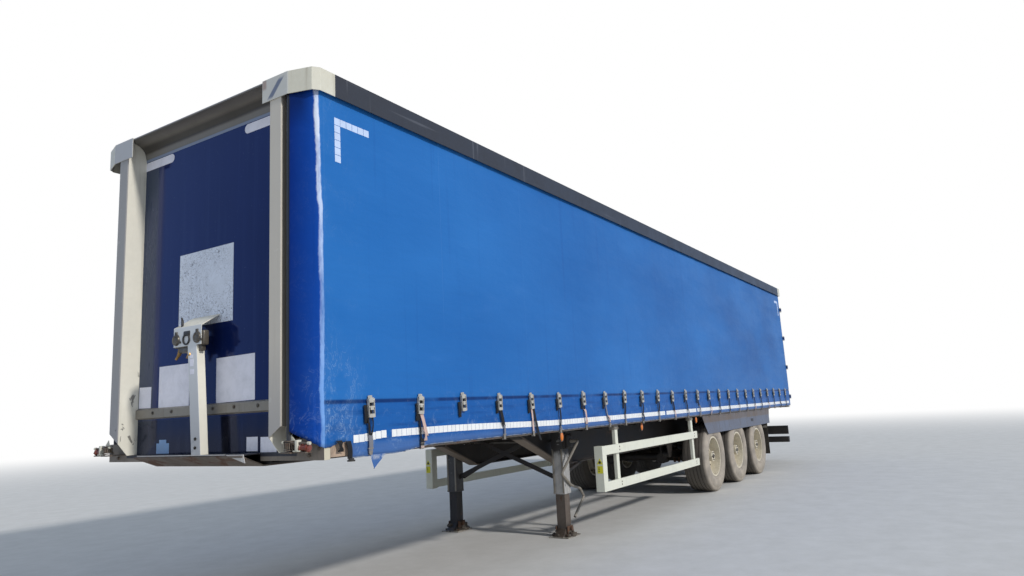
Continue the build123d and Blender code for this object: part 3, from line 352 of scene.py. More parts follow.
def make_finish(name, colour, dirt, dirt_share=0.3, streaks=0.2, scale=3.0, road=0.0, metallic=0.0,
                rough=(0.4, 0.7), rust=0.0, rust_scale=6.0, scratches=0.0, bump=0.15, grain=0.001, coat=0.0,
                zones=None):
    """Painted or bare metal, plastic or rubber with its own dirt, rust and scratches."""
    material, tree, shader = new_material(name)
    worn = use_group(tree, "Weathering", {"Colour": colour, "Dirt colour": dirt, "Dirt": dirt_share,
                                          "Streaks": streaks, "Scale": scale, "Road dirt": road})
    shown, height = worn["Colour"], worn["Height"]
    roughness = remap(tree, worn["Mask"], 0.0, 1.0, rough[0], rough[1])
    if zones:
        shown = zones(tree, shown)
    metal_share = None
    if scratches:
        lines = use_group(tree, "Scratches", {"Amount": scratches, "Scale": 14.0})["Mask"]
        shown = blend_colour(tree, lines, shown, tuple(min(1.0, 1.5 * c + 0.08) for c in colour[:3]) + (1,))
        height = minus(tree, height, times(tree, lines, 0.4))
    if rust:
        spots = use_group(tree, "Rust", {"Amount": rust, "Scale": rust_scale})
        shown = blend_colour(tree, spots["Mask"], shown, spots["Colour"])
        roughness = calc(tree, "MAXIMUM", roughness, times(tree, spots["Mask"], 0.85))
        height = plus(tree, height, times(tree, spots["Height"], 1.5))
        metal_share = times(tree, minus(tree, 1.0, spots["Mask"]), metallic)
    connect(tree, shader, shown, roughness, height, bump, grain)
    if metallic and metal_share is not None:
        tree.links.new(metal_share, shader.inputs["Metallic"])
    else:
        shader.inputs["Metallic"].default_value = metallic
    shader.inputs["Coat Weight"].default_value = coat
    shader.inputs["Coat Roughness"].default_value = 0.12
    return material


def post_zones(tree, shown):
    """Faces that look forwards are greyer, and darker on the far side; the posts' outer sides get a painted
    shade.
    """
    at = axes(tree)
    front_face = remap(tree, at["X"], 6.782, 6.7855)
    shown = tint(tree, shown, front_face, linear(200, 192, 182), 0.75)
    far = times(tree, front_face, remap(tree, at["Y"], *FAR_SIDE))
    shown = tint(tree, shown, far, linear(150, 150, 152), 0.85)
    stand = remap(tree, calc(tree, "ABSOLUTE", at["Y"]), 0.5, 0.4)
    shown = tint(tree, shown, times(tree, front_face, stand), linear(222, 228, 236), 0.8)
    low = times(tree, front_face, remap(tree, at["Z"], 1.9, 1.3))
    shown = tint(tree, shown, low, linear(146, 146, 152), 0.6)
    # Painted shade on the posts' outer sides, between post and curtain return, stopping short of the front
    # edge
    outer = remap(tree, calc(tree, "ABSOLUTE", at["Y"]), 0.985, 0.99)
    outer = times(tree, outer, remap(tree, at["X"], 6.782, 6.78))
    shown = tint(tree, shown, outer, linear(96, 84, 76), 0.75)
    marks = cloud(tree, places(tree, (1, 1, 0.6), (0.4, 0.1, 0.7)), 9.0, 5.0, 0.6, 1.5)
    marks = times(tree, remap(tree, marks, 0.62, 0.66), remap(tree, at["Y"], *FAR_SIDE))
    marks = times(tree, marks, remap(tree, at["Z"], 1.9, 1.75))
    return tint(tree, shown, marks, linear(70, 66, 62), 0.75)


def header_light_and_shade(tree, shown):
    """Pale lips above and below, with painted light and shade: a painted sky reflection along the top edge
    and on the lower lip, a painted shade with some dust in the hollow between them, and a band of painted
    light below the hollow.
    """
    at = axes(tree)
    shown = tint(tree, shown, remap(tree, at["Z"], 3.7, 3.715), linear(118, 114, 110), 0.7)
    # Painted shade in the hollow under the top lip, with some dust
    shown = tint(tree, shown, band(tree, at["Z"], 3.672, 0.014, 0.02), linear(58, 54, 50), 0.9)
    # Painted light on the sloping band below the hollow
    shown = tint(tree, shown, band(tree, at["Z"], 3.622, 0.01, 0.016), linear(132, 130, 126), 0.7)
    # Painted sky reflection on the lower lip
    shown = tint(tree, shown, remap(tree, at["Z"], 3.603, 3.597), linear(132, 148, 178), 0.85)
    # Painted sky reflection along the top edge
    return tint(tree, shown, remap(tree, at["Z"], 3.724, 3.728), linear(168, 176, 192), 0.8)


def cap_zones(tree, shown):
    """Grey front plates, one with a dark scrape, and lighter facets."""
    at = axes(tree)
    front_face = remap(tree, at["X"], 6.796, 6.7985)
    shown = tint(tree, shown, front_face, linear(206, 206, 204), 0.8)
    far = times(tree, front_face, remap(tree, at["Y"], *FAR_SIDE))
    shown = tint(tree, shown, far, linear(176, 178, 184), 0.85)
    height = minus(tree, at["Z"], 3.645)
    slope = minus(tree, times(tree, minus(tree, at["Y"], 0.945), 1.05), height)
    scrape = times(tree, band(tree, slope, 0.0, 0.02, 0.016), band(tree, height, 0.0, 0.045, 0.03))
    scrape = times(tree, times(tree, scrape, front_face), remap(tree, at["Y"], 0.5, 0.6))
    shown = tint(tree, shown, scrape, linear(98, 108, 134), 0.9)
    corner = times(tree, band(tree, at["Y"], 0.83, 0.01, 0.02), band(tree, at["Z"], 3.7, 0.02, 0.03))
    return tint(tree, shown, corner, linear(146, 104, 84), 0.6)


def bolster_zones(tree, shown):
    """Painted shade in the hollow along the top, between pale ends that carry painted sunlight on their outer
    faces.
    """
    at = axes(tree)
    # Painted shade in the hollow along the top
    middle = remap(tree, calc(tree, "ABSOLUTE", at["Y"]), 0.98, 0.99, 1.0, 0.0)
    high = remap(tree, at["Z"], 1.164, 1.168)
    shown = tint(tree, shown, times(tree, middle, high), linear(26, 30, 44), 0.9)
    # Painted sunlight on the outer faces of the ends
    lit_end = remap(tree, calc(tree, "ABSOLUTE", at["Y"]), 1.2345, 1.2352)
    return tint(tree, shown, lit_end, linear(222, 214, 190), 0.8)


def rave_zones(tree, shown):
    """Painted sunlight makes the front ends paler, mottled by noise; the rest keeps the dark grime of its
    finish.
    """
    at = axes(tree)
    grime = remap(tree, cloud(tree, places(tree, (1, 1, 0.4)), 16.0, 6.0, 0.7), 0.35, 0.6, 0.4, 1.0)
    # Painted sunlight on the front ends, mottled by a noise
    front_sunlight = times(tree, remap(tree, at["X"], 6.2, 6.45), grime)
    return tint(tree, shown, front_sunlight, linear(196, 170, 148), 0.85)


def valance_zones(tree, shown):
    """Grime along the upper flange."""
    at = axes(tree)
    grime = remap(tree, cloud(tree, places(tree, (1, 1, 0.2)), 6.0, 6.0, 0.7), 0.3, 0.6, 0.4, 1.0)
    upper = times(tree, remap(tree, at["Z"], 1.03, 1.045), grime)
    return tint(tree, shown, upper, linear(104, 88, 72), 0.85)


def leg_zones(tree, shown):
    """Painted shade near the top, under the frame, and on the far side, and mud at the foot."""
    at = axes(tree)
    patch = cloud(tree, places(tree, (1, 1, 0.5)), 7.0, 6.0, 0.7)
    # Painted shade on the upper part, where the frame shades the legs, with a ragged edge
    top = remap(tree, plus(tree, at["Z"], times(tree, patch, 0.3)), 1.0, 1.06)
    shown = tint(tree, shown, top, linear(28, 26, 26), 0.9)
    # Painted shade on the far leg, which stands in the trailer's shadow
    shown = tint(tree, shown, remap(tree, at["Y"], -0.4, -0.5), linear(26, 24, 24), 0.85)
    foot = times(tree, remap(tree, at["Z"], 0.16, 0.08), remap(tree, patch, 0.35, 0.55))
    shown = tint(tree, shown, foot, linear(38, 31, 27), 0.8)
    rim = times(tree, remap(tree, at["Z"], 0.018, 0.012), remap(tree, patch, 0.4, 0.55))
    return tint(tree, shown, rim, linear(196, 190, 178), 0.7)


def rail_zones(tree, shown):
    """Painted light on the rails' sloping lower flanges near the legs, which are made paler grey-brown."""
    at = axes(tree)
    slope = minus(tree, at["Z"], times(tree, minus(tree, at["X"], 2.55), 0.42))
    # Painted light on the sloping lower flange near the legs
    flange = times(tree, band(tree, at["X"], 2.95, 0.42, 0.06), remap(tree, slope, 0.79, 0.77))
    return tint(tree, shown, flange, linear(150, 136, 122), 0.75)


def make_curtain_cloth(look):
    """Coated blue cloth with chalky fading, scuffed round the front corner; painted shade darkens its crease
    and folds and makes the front return a deeper blue with a painted shadow of the cap, and a painted
    highlight mixed with wear runs along the fold.
    """
    material, tree, shader = new_material("curtain_cloth")
    at = axes(tree)
    below = minus(tree, CURTAIN_TOP, at["Z"])
    bowed = times(tree, calc(tree, "SINE", times(tree, below, FOLD_WAVE)), FOLD_BOW)
    fold = plus(tree, at["X"], plus(tree, times(tree, below, FOLD_LEAN), bowed))
    wobble = remap(tree, cloud(tree, places(tree, (1, 1, 0.8)), 7.0, 5.0, 0.6), 0.3, 0.7, -0.006, 0.006)
    fold_line = FOLD_X - 0.003
    length = remap(tree, at["X"], -6.8, 6.6)
    colour = blend_colour(tree, length, linear(34, 84, 146), tuple(look.curtain))
    broad = cloud(tree, places(tree, (0.5, 1, 1)), 0.9, 4.0)
    colour = blend_colour(tree, remap(tree, broad, 0.35, 0.7, 0.0, 0.7), colour, linear(50, 120, 194))
    chalk = cloud(tree, places(tree, (0.35, 1, 1.4)), 2.6, 7.0, 0.65)
    colour = blend_colour(tree, remap(tree, chalk, 0.58, 0.85, 0.0, 0.3), colour, linear(80, 134, 200))
    runs = cloud(tree, places(tree, (1, 1, 0.03)), 13.0, 3.0)
    colour = blend_colour(tree, remap(tree, runs, 0.6, 0.8, 0.0, 0.3), colour, linear(26, 72, 146))
    lower = remap(tree, at["Z"], 1.49, 1.52, 1.0, 0.0)
    colour = tint(tree, colour, lower, linear(18, 72, 146), 0.5)
    # Painted shade in the horizontal folds below the crease
    folds = cloud(tree, places(tree, (0.3, 1, 2.6)), 8.0, 4.0, 0.6)
    folds = times(tree, remap(tree, folds, 0.5, 0.66), remap(tree, at["Z"], 1.46, 1.5, 1.0, 0.0))
    colour = tint(tree, colour, folds, linear(16, 54, 118), 0.4)
    # Painted shadow along the crease, strongest in stretches and near the front buckles
    crease = band(tree, at["Z"], CREASE_Z, 0.006, 0.014)
    stretches = remap(tree, cloud(tree, places(tree, (1, 1, 0.3), (0.35, 0, 0)), 2.4), 0.36, 0.56, 0.2, 1.0)
    crease = times(tree, crease, calc(tree, "MAXIMUM", stretches, band(tree, at["X"], 5.99, 0.2, 0.1)))
    colour = tint(tree, colour, crease, linear(14, 36, 88), 0.85)
    spacing = calc(tree, "PINGPONG", plus(tree, at["X"], 7.0), 0.62)
    shows = remap(tree, cloud(tree, places(tree, (1, 1, 0.5)), 1.3), 0.4, 0.6)
    weld = times(tree, remap(tree, spacing, 0.0, 0.004, 1.0, 0.0), shows)
    colour = tint(tree, colour, weld, linear(96, 142, 204), 0.3)
    round_front = remap(tree, fold, fold_line - 0.004, fold_line + 0.006)
    # Painted shade on the front return: a deeper blue, darkest towards the pole
    depth = remap(tree, at["Y"], 1.08, 1.22)
    return_shade = blend_colour(tree, depth, linear(10, 44, 122), linear(20, 72, 164))
    colour = blend_colour(tree, round_front, colour, return_shade)
    shaded = times(tree, remap(tree, at["Z"], 3.32, 3.5), remap(tree, at["Y"], 1.22, 1.14))
    colour = tint(tree, colour, times(tree, shaded, round_front), linear(10, 22, 62), 0.6)
    rubbed = cloud(tree, places(tree, (1, 1, 1), (0.3, 0.5, 0.2)), 9.0, 8.0, 0.72, 1.2)
    near_corner = times(tree, remap(tree, at["X"], 6.2, 6.68), remap(tree, at["Z"], 1.25, 1.95, 1.0, 0.08))
    lines = cloud(tree, places(tree, (1.3, 1, 0.7), (0.2, 0.4, 0.1)), 13.0, 7.0, 0.66, 0.8)
    worn_patch = remap(tree, cloud(tree, places(tree), 5.0, 3.0), 0.42, 0.6)
    scuffs = times(tree, band(tree, lines, 0.52, 0.004, 0.014), worn_patch)
    side_only = times(tree, near_corner, remap(tree, round_front, 0.0, 1.0, 1.0, 0.25))
    scuffs = times(tree, scuffs, side_only, clamp=True)
    chafed = times(tree, times(tree, side_only, worn_patch), 0.25)
    colour = blend_colour(tree, chafed, colour, linear(120, 168, 218))
    hem = times(tree, remap(tree, at["Z"], 1.2, 1.6, 0.5, 0.0), remap(tree, rubbed, 0.56, 0.7))
    marks = calc(tree, "MAXIMUM", scuffs, hem)
    colour = tint(tree, colour, marks, linear(176, 200, 224), 0.8)
    # Painted highlight along the fold, mixed with real wear, broken by noise and brighter near the top
    highlight_and_wear_breaks = remap(tree, cloud(tree, places(tree, (1, 1, 0.25)), 5.0, 5.0, 0.65), 0.36, 0.5, 0.25, 1.0)
    edge = times(tree, band(tree, plus(tree, fold, wobble), fold_line, 0.007, 0.009), highlight_and_wear_breaks)
    high = remap(tree, at["Z"], 1.6, 3.3)
    fold_highlight_and_wear = blend_colour(tree, high, linear(126, 172, 236), linear(226, 234, 250))
    colour = tint(tree, colour, edge, fold_highlight_and_wear, 0.9)
    grime = remap(tree, cloud(tree, places(tree, (2, 1, 0.4)), 3.0, 6.0, 0.7), 0.6, 0.75)
    low_dirt = times(tree, grime, remap(tree, at["Z"], 1.15, 1.45, 0.45, 0.0))
    colour = blend_colour(tree, low_dirt, colour, linear(64, 72, 84))
    under_tape = times(tree, remap(tree, at["Z"], 1.2, 1.24, 1.0, 0.0), 0.45)
    colour = blend_colour(tree, under_tape, colour, linear(96, 122, 168))
    sagging = remap(tree, at["X"], SAG_FROM_X, SAG_TO_X, 0.0, SAG_DEPTH, smooth=True)
    fray = remap(tree, plus(tree, at["Z"], sagging), HEM_Z + 0.003, HEM_Z + 0.009, 1.0, 0.0)
    fray = times(tree, fray, remap(tree, rubbed, 0.4, 0.55))
    fray = times(tree, fray, remap(tree, at["Z"], 1.1, 1.115))
    colour = tint(tree, colour, fray, linear(190, 196, 204), 0.8)
    weave = use_group(tree, "Weave", {"Scale": 2100.0})["Height"]
    ripple = cloud(tree, places(tree, (0.35, 1, 1)), 5.5, 3.0)
    puckers = cloud(tree, places(tree, (1.2, 1, 0.35)), 16.0, 3.0)
    drawn = cloud(tree, places(tree, (0.25, 1, 2.2)), 9.0, 3.0)
    low_part = remap(tree, at["Z"], 1.3, 1.8, 1.0, 0.15)
    pulls = plus(tree, puckers, times(tree, drawn, 2.4))
    height = plus(tree, times(tree, ripple, 3.0), times(tree, pulls, low_part))
    height = plus(tree, height, times(tree, weave, 0.02))
    height = minus(tree, height, times(tree, weld, 0.25))
    roughness = plus(tree, remap(tree, chalk, 0.4, 0.7, 0.3, 0.44), times(tree, marks, 0.3))
    connect(tree, shader, colour, roughness, height, 0.5, 0.006)
    shader.inputs["Specular IOR Level"].default_value = 0.25
    shader.inputs["Specular Tint"].default_value = linear(140, 180, 255)
    return material


def make_board_laminate(look):
    """Glossy navy laminate of the front wall, dusty at its foot, with painted light across it and a painted
    reflection of the far post, mottled with dust, along its far edge.
    """
    material, tree, shader = new_material("board_laminate")
    at = axes(tree)
    broad = cloud(tree, places(tree, (1, 0.6, 0.25)), 1.6, 4.0)
    # Painted light and shade across the wall: lighter towards the far side, where grazing sun falls, darker
    # towards the near side
    across = remap(tree, at["Y"], -0.8, 0.85)
    colour = blend_colour(tree, across, linear(16, 32, 82), tuple(look.board))
    colour = blend_colour(tree, remap(tree, broad, 0.35, 0.7, 0.0, 0.6), colour, linear(26, 42, 100))
    low = remap(tree, at["Z"], 1.44, 1.46, 1.0, 0.0)
    colour = tint(tree, colour, low, linear(9, 12, 26), 0.95)
    dust = cloud(tree, places(tree, (1, 1, 0.2)), 7.0, 6.0, 0.65)
    # Painted reflection of the far post along the far edge, mottled by dust and rougher there
    far_post_reflection = remap(tree, at["Y"], -0.72, -0.66, 1.0, 0.0, smooth=True)
    grey = times(tree, far_post_reflection, remap(tree, dust, 0.3, 0.6, 0.5, 0.85))
    grey = times(tree, grey, remap(tree, at["Z"], 1.4, 1.5, 0.2, 1.0))
    colour = blend_colour(tree, grey, colour, linear(72, 80, 84))
    runs = remap(tree, cloud(tree, places(tree, (1, 1, 0.04)), 16.0, 5.0, 0.6), 0.52, 0.72, 0.0, 0.12)
    colour = blend_colour(tree, runs, colour, linear(60, 76, 120))
    foot = times(tree, remap(tree, at["Z"], 1.2, 1.55, 0.3, 0.0), remap(tree, dust, 0.45, 0.65))
    colour = blend_colour(tree, foot, colour, linear(78, 76, 76))
    specks = remap(tree, cloud(tree, places(tree), 90.0, 1.0), 0.76, 0.775)
    colour = tint(tree, colour, specks, linear(120, 130, 150), 0.4)
    roughness = plus(tree, remap(tree, dust, 0.3, 0.7, 0.06, 0.16), times(tree, grey, 0.3))
    connect(tree, shader, colour, roughness, broad, 0.08, 0.01)
    shader.inputs["Specular IOR Level"].default_value = 0.45
    shader.inputs["Specular Tint"].default_value = linear(110, 150, 255)
    return material


def make_label(name, colour, cracks):
    """Blank film with some dust, and with crazed cracks where they are asked for."""
    material, tree, shader = new_material(name)
    dust = cloud(tree, places(tree), 11.0, 6.0, 0.65)
    shown = blend_colour(tree, remap(tree, dust, 0.42, 0.8, 0.0, 0.25), colour, linear(136, 142, 152))
    height = dust
    if cracks:
        shake = add_node(tree, "ShaderNodeTexNoise", {"Vector": places(tree), "Scale": 9.0}).outputs[1]
        bent = add_node(tree, "ShaderNodeVectorMath", {0: places(tree), 1: shake}, operation="ADD").outputs[0]
        cells = {"Vector": bent, "Scale": 10.0}
        edge = add_node(tree, "ShaderNodeTexVoronoi", cells, feature="DISTANCE_TO_EDGE").outputs[0]
        cracked = remap(tree, cloud(tree, places(tree), 2.5), 0.35, 0.6)
        line = times(tree, remap(tree, edge, 0.012, 0.045, 1.0, 0.0), cracked)
        shown = blend_colour(tree, times(tree, line, cracks), shown, linear(96, 100, 116))
        height = minus(tree, dust, line)
    connect(tree, shader, shown, remap(tree, dust, 0.3, 0.7, 0.35, 0.6), height, 0.15, 0.002)
    return material


def make_tape():
    """White reflective tape with its fine cell pattern, grey with dirt."""
    material, tree, shader = new_material("reflective_tape")
    cells = add_node(tree, "ShaderNodeTexVoronoi", {"Vector": places(tree), "Scale": 240.0}).outputs[0]
    dust = cloud(tree, places(tree, (1, 1, 0.4)), 8.0, 6.0, 0.7)
    shown = blend_colour(tree, remap(tree, dust, 0.45, 0.8, 0.0, 0.4), linear(246, 247, 248),
                         linear(150, 156, 164))
    shown = blend_colour(tree, remap(tree, cells, 0.2, 0.6, 0.0, 0.1), shown, linear(190, 196, 204))
    connect(tree, shader, shown, remap(tree, dust, 0.3, 0.7, 0.25, 0.5), cells, 0.1, 0.0005)
    return material


def make_tyre_rubber():
    """Dusty brown-grey rubber, paler near the ground and darker on the tread."""
    material, tree, shader = new_material("tyre_rubber")
    at = axes(tree)
    dust = cloud(tree, places(tree), 6.0, 7.0, 0.65)
    fine = cloud(tree, places(tree), 60.0, 4.0, 0.7)
    colour = blend_colour(tree, remap(tree, dust, 0.35, 0.7), linear(146, 139, 131), linear(182, 172, 160))
    low = times(tree, remap(tree, at["Z"], 0.0, 0.3, 0.6, 0.0), remap(tree, fine, 0.4, 0.6))
    colour = blend_colour(tree, low, colour, linear(172, 163, 148))
    inner = calc(tree, "ABSOLUTE", at["Y"])
    colour = blend_colour(tree, remap(tree, inner, 1.12, 1.2, 0.75, 0.0), colour, linear(66, 62, 58))
    connect(tree, shader, colour, remap(tree, dust, 0.3, 0.7, 0.75, 0.92), fine, 0.25, 0.002)
    shader.inputs["Specular IOR Level"].default_value = 0.25
    return material


def make_webbing(name, colour, dusty):
    """Woven strap with dust in its ribs."""
    material, tree, shader = new_material(name)
    at = axes(tree)
    ribs = calc(tree, "SINE", times(tree, at["Z"], 1900.0))
    cross = calc(tree, "SINE", times(tree, at["X"], 2600.0))
    dust = cloud(tree, places(tree), 20.0, 5.0, 0.7)
    shown = blend_colour(tree, remap(tree, dust, 0.45, 0.8, 0.0, dusty), colour, linear(112, 106, 100))
    rough = remap(tree, dust, 0.3, 0.7, 0.7, 0.9)
    connect(tree, shader, shown, rough, plus(tree, ribs, cross), 0.4, 0.0006)
    shader.inputs["Sheen Weight"].default_value = dusty * 0.6
    return material


def make_lens(name, colour):
    """Dusty lamp lens with fine prisms in its surface."""
    material, tree, shader = new_material(name)
    at = axes(tree)
    rows, columns = (calc(tree, "SINE", times(tree, at[axis], 900.0)) for axis in "ZY")
    prisms = times(tree, rows, columns)
    dust = cloud(tree, places(tree), 18.0, 5.0)
    shown = blend_colour(tree, remap(tree, dust, 0.5, 0.8, 0.0, 0.4), colour, linear(120, 104, 84))
    connect(tree, shader, shown, remap(tree, dust, 0.35, 0.75, 0.12, 0.45), prisms, 0.2, 0.0008)
    shader.inputs["Coat Weight"].default_value = 0.6
    return material


def make_plywood():
    """Brown phenolic-faced plywood with a wire-mesh print and worn lanes."""
    material, tree, shader = new_material("plywood_floor")
    at = axes(tree)
    along, across = (calc(tree, "SINE", times(tree, at[axis], 420.0)) for axis in "XY")
    mesh_print = times(tree, along, across)
    grain = cloud(tree, places(tree, (0.05, 1, 1)), 30.0, 6.0, 0.6)
    colour = blend_colour(tree, remap(tree, grain, 0.3, 0.7), linear(70, 44, 30), linear(112, 78, 52))
    lanes = remap(tree, cloud(tree, places(tree, (0.08, 1, 1)), 3.0, 5.0), 0.48, 0.65)
    colour = tint(tree, colour, lanes, linear(146, 122, 96), 0.6)
    connect(tree, shader, colour, remap(tree, lanes, 0.0, 1.0, 0.45, 0.8), mesh_print, 0.3, 0.001)
    return material


MATERIALS = {}


def build_materials(look):
    """All the finishes by name: plain ones from rows, the others by their own functions."""
    dust = linear(104, 95, 84)
    soot = linear(40, 37, 34)
    mud = linear(94, 84, 70)
    frame_paint, frame_dirt = linear(31, 29, 29), linear(82, 72, 62)
    frame_wear = dict(dirt_share=0.4, streaks=0.3, road=0.2, rough=(0.55, 0.85), rust=0.22, rust_scale=3.0,
                      bump=0.25)
    rows = (
        ("chassis_paint", frame_paint, frame_dirt, frame_wear),
        ("rail_paint", frame_paint, frame_dirt, dict(frame_wear, zones=rail_zones)),
        ("leg_paint", linear(186, 185, 184), linear(72, 68, 66), dict(
            dirt_share=0.55, streaks=0.7, scale=4.0, rough=(0.4, 0.75), rust=0.18, rust_scale=4.0,
            scratches=0.6, zones=leg_zones)),
        ("leg_steel", linear(104, 92, 82), linear(44, 37, 33), dict(
            dirt_share=0.55, streaks=0.7, scale=5.0, rough=(0.45, 0.8), rust=0.3, rust_scale=9.0,
            zones=leg_zones)),
        ("rusty_steel", linear(112, 100, 88), linear(58, 48, 40), dict(
            dirt_share=0.75, streaks=0.55, rust=0.45, rust_scale=5.0, rough=(0.5, 0.85), bump=0.3)),
        ("rave_steel", linear(104, 96, 88), linear(44, 38, 34), dict(
            dirt_share=0.8, streaks=0.5, rust=0.4, rust_scale=7.0, rough=(0.5, 0.85), bump=0.3,
            zones=rave_zones)),
        ("bolster_steel", linear(136, 127, 117), linear(80, 70, 62), dict(
            dirt_share=0.7, streaks=0.5, rust=0.15, rough=(0.5, 0.8), zones=bolster_zones)),
        # Pale finish of the lip's plate and strip, which stand for painted light
        ("painted_lip_light", linear(206, 204, 204), linear(146, 140, 132), dict(
            dirt_share=0.4, streaks=0.4, scale=9.0, scratches=0.6)),
        ("galvanised", linear(150, 144, 134), linear(92, 84, 74), dict(
            dirt_share=0.45, streaks=0.55, metallic=0.15, rough=(0.45, 0.7), scratches=0.4, rust=0.08)),
        ("post_steel", linear(238, 234, 220), linear(176, 166, 148), dict(
            dirt_share=0.25, streaks=0.5, scale=2.4, rough=(0.45, 0.75), scratches=0.5, rust=0.04,
            zones=post_zones)),
        ("header_steel", linear(118, 112, 104), linear(78, 70, 62), dict(
            dirt_share=0.5, streaks=0.3, scale=2.0, rough=(0.4, 0.7), rust=0.05, zones=header_light_and_shade)),
        ("cream_paint", linear(222, 219, 204), linear(160, 152, 134), dict(
            dirt_share=0.35, streaks=0.6, rough=(0.42, 0.7), scratches=0.5, rust=0.1, zones=cap_zones)),
        ("roof_white", linear(214, 216, 212), linear(150, 148, 138), dict(
            dirt_share=0.6, streaks=0.0, scale=1.0, rough=(0.5, 0.75))),
        ("aluminium", linear(66, 66, 70), linear(46, 43, 42), dict(
            dirt_share=0.5, streaks=0.3, metallic=0.3, rough=(0.36, 0.6), scratches=0.8)),
        ("brass", linear(196, 150, 84), linear(60, 48, 34), dict(
            dirt_share=0.7, scale=14.0, metallic=0.6, rough=(0.3, 0.6))),
        ("greasy_steel", linear(112, 104, 92), linear(30, 26, 23), dict(
            dirt_share=0.95, scale=16.0, metallic=0.3, rough=(0.3, 0.55), rust=0.25, bump=0.4)),
        ("wheel_paint", tuple(look.wheel), linear(132, 118, 98), dict(
            dirt_share=0.5, streaks=0.2, scale=7.0, road=0.25, rough=(0.45, 0.8), rust=0.2)),
        ("air_rubber", linear(40, 38, 38), dust, dict(dirt_share=0.5, rough=(0.6, 0.85))),
        ("guard_white", tuple(look.guard), linear(170, 166, 150), dict(
            dirt_share=0.3, streaks=0.35, scale=4.0, rough=(0.4, 0.65), scratches=0.35, rust=0.05)),
        ("valance_grey", linear(104, 110, 126), linear(86, 76, 66), dict(
            dirt_share=0.5, streaks=0.6, rust=0.1, rough=(0.4, 0.7), scratches=0.6, zones=valance_zones)),
        ("flap_rubber", linear(34, 33, 33), mud, dict(dirt_share=0.5, road=0.6, rough=(0.65, 0.9))),
        ("door_paint", tuple(look.door), linear(96, 96, 98), dict(
            dirt_share=0.25, streaks=0.35, scale=2.0, rough=(0.28, 0.55), scratches=0.4, coat=0.1)),
        ("machined_steel", linear(128, 122, 114), soot, dict(
            dirt_share=0.8, scale=9.0, metallic=0.7, rough=(0.25, 0.5))),
        ("rubber_seal", linear(22, 22, 23), dust, dict(dirt_share=0.3, rough=(0.5, 0.75))),
        ("lamp_housing", linear(28, 28, 30), dust, dict(dirt_share=0.4, rough=(0.4, 0.7))),
        ("brake_metal", linear(74, 66, 58), soot, dict(
            dirt_share=0.7, rust=0.6, rough=(0.6, 0.9), scale=8.0)),
        ("caked_mud", linear(52, 43, 37), linear(142, 134, 122), dict(
            dirt_share=0.6, scale=12.0, rough=(0.8, 0.95), bump=0.8, grain=0.008)),
        ("buckle_steel", linear(206, 202, 192), linear(112, 104, 94), dict(
            dirt_share=0.5, scale=18.0, metallic=0.2, rough=(0.35, 0.6), scratches=0.5)),
    )
    for name, colour, dirt, options in rows:
        MATERIALS[name] = make_finish(name, colour, dirt, **options)
    MATERIALS["navy_board"] = make_board_laminate(look)
    MATERIALS["curtain_cloth"] = make_curtain_cloth(look)
    MATERIALS["plywood"] = make_plywood()
    MATERIALS["tyre"] = make_tyre_rubber()
    MATERIALS["reflective_tape"] = make_tape()
    films = (
        ("white_film", linear(242, 242, 255), 0.0),
        ("cracked_film", linear(228, 236, 252), 0.85),
        ("blue_film", linear(130, 168, 214), 0.0),
        ("faded_film", linear(200, 218, 250), 0.0),
        ("yellow_film", linear(232, 226, 30), 0.0),
        ("red_lead", linear(122, 58, 42), 0.0),
    )
    for name, colour, cracks in films:
        MATERIALS[name] = make_label(name, colour, cracks)
    webbing = (("black", linear(13, 13, 16), 0.06), ("faded", linear(216, 186, 176), 0.35),
               ("grey", linear(120, 122, 132), 0.35))
    for name, colour, dusty in webbing:
        MATERIALS[f"webbing_{name}"] = make_webbing(f"webbing_{name}", colour, dusty)
    lenses = (("amber", linear(222, 122, 26)), ("red", linear(150, 14, 16)), ("clear", linear(196, 200, 204)))
    for name, colour in lenses:
        MATERIALS[f"lamp_{name}"] = make_lens(f"lamp_{name}", colour)


NODE_FINISHES = (
    ("rail_paint", ("main_rails",)),
    ("chassis_paint", ("cross_members", "axles", "hangers", "brake_chambers", "rear_bumper", "leg_bracing")),
    ("wheel_paint", tuple(f"wheel_{side}_{number}" for side, _ in SIDES for number in (1, 2, 3))),
    ("leg_paint", ("leg_sleeves",)),
    ("leg_steel", ("leg_tubes",)),
    ("rusty_steel", ("coupler_plate",)),
    ("rave_steel", ("side_raves",)),
    ("bolster_steel", ("front_bolster",)),
    ("galvanised", ("headboard_rail", "air_tanks", "lock_gear_left", "lock_gear_right")),
    ("post_steel", ("front_posts", "coupling_stand")),
    ("header_steel", ("front_header",)),
    ("cream_paint", ("corner_caps", "rear_frame")),
    ("aluminium", ("cant_rails", "roof_bows", "curtain_poles", "side_posts")),
    ("navy_board", ("headboard",)),
    ("plywood", ("deck",)),
    ("machined_steel", ("kingpin", "leg_shaft")),
    ("roof_white", ("roof_sheet",)),
    ("guard_white", ("side_guards",)),
    ("valance_grey", ("wheel_valances",)),
    ("flap_rubber", ("mud_flaps",)),
    ("door_paint", ("door_left", "door_right")),
    ("lamp_amber", ("side_markers",)),
)

SOFT_EDGES = (
    (0.003, ("front_posts", "leg_sleeves", "leg_tubes", "side_guards", "side_posts", "rear_bumper")),
    (0.0016, ("corner_caps", "cant_rails", "front_header", "headboard_rail", "front_bolster",
              "coupling_stand", "rear_frame", "wheel_valances", "leg_bracing", "coupler_plate", "side_raves",
              "mud_flaps")),
)


def paint_nodes():
    """Gives the solids their finishes."""
    for material, nodes in NODE_FINISHES:
        for node in nodes:
            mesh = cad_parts[node].data
            mesh.materials.clear()
            mesh.materials.append(MATERIALS[material])


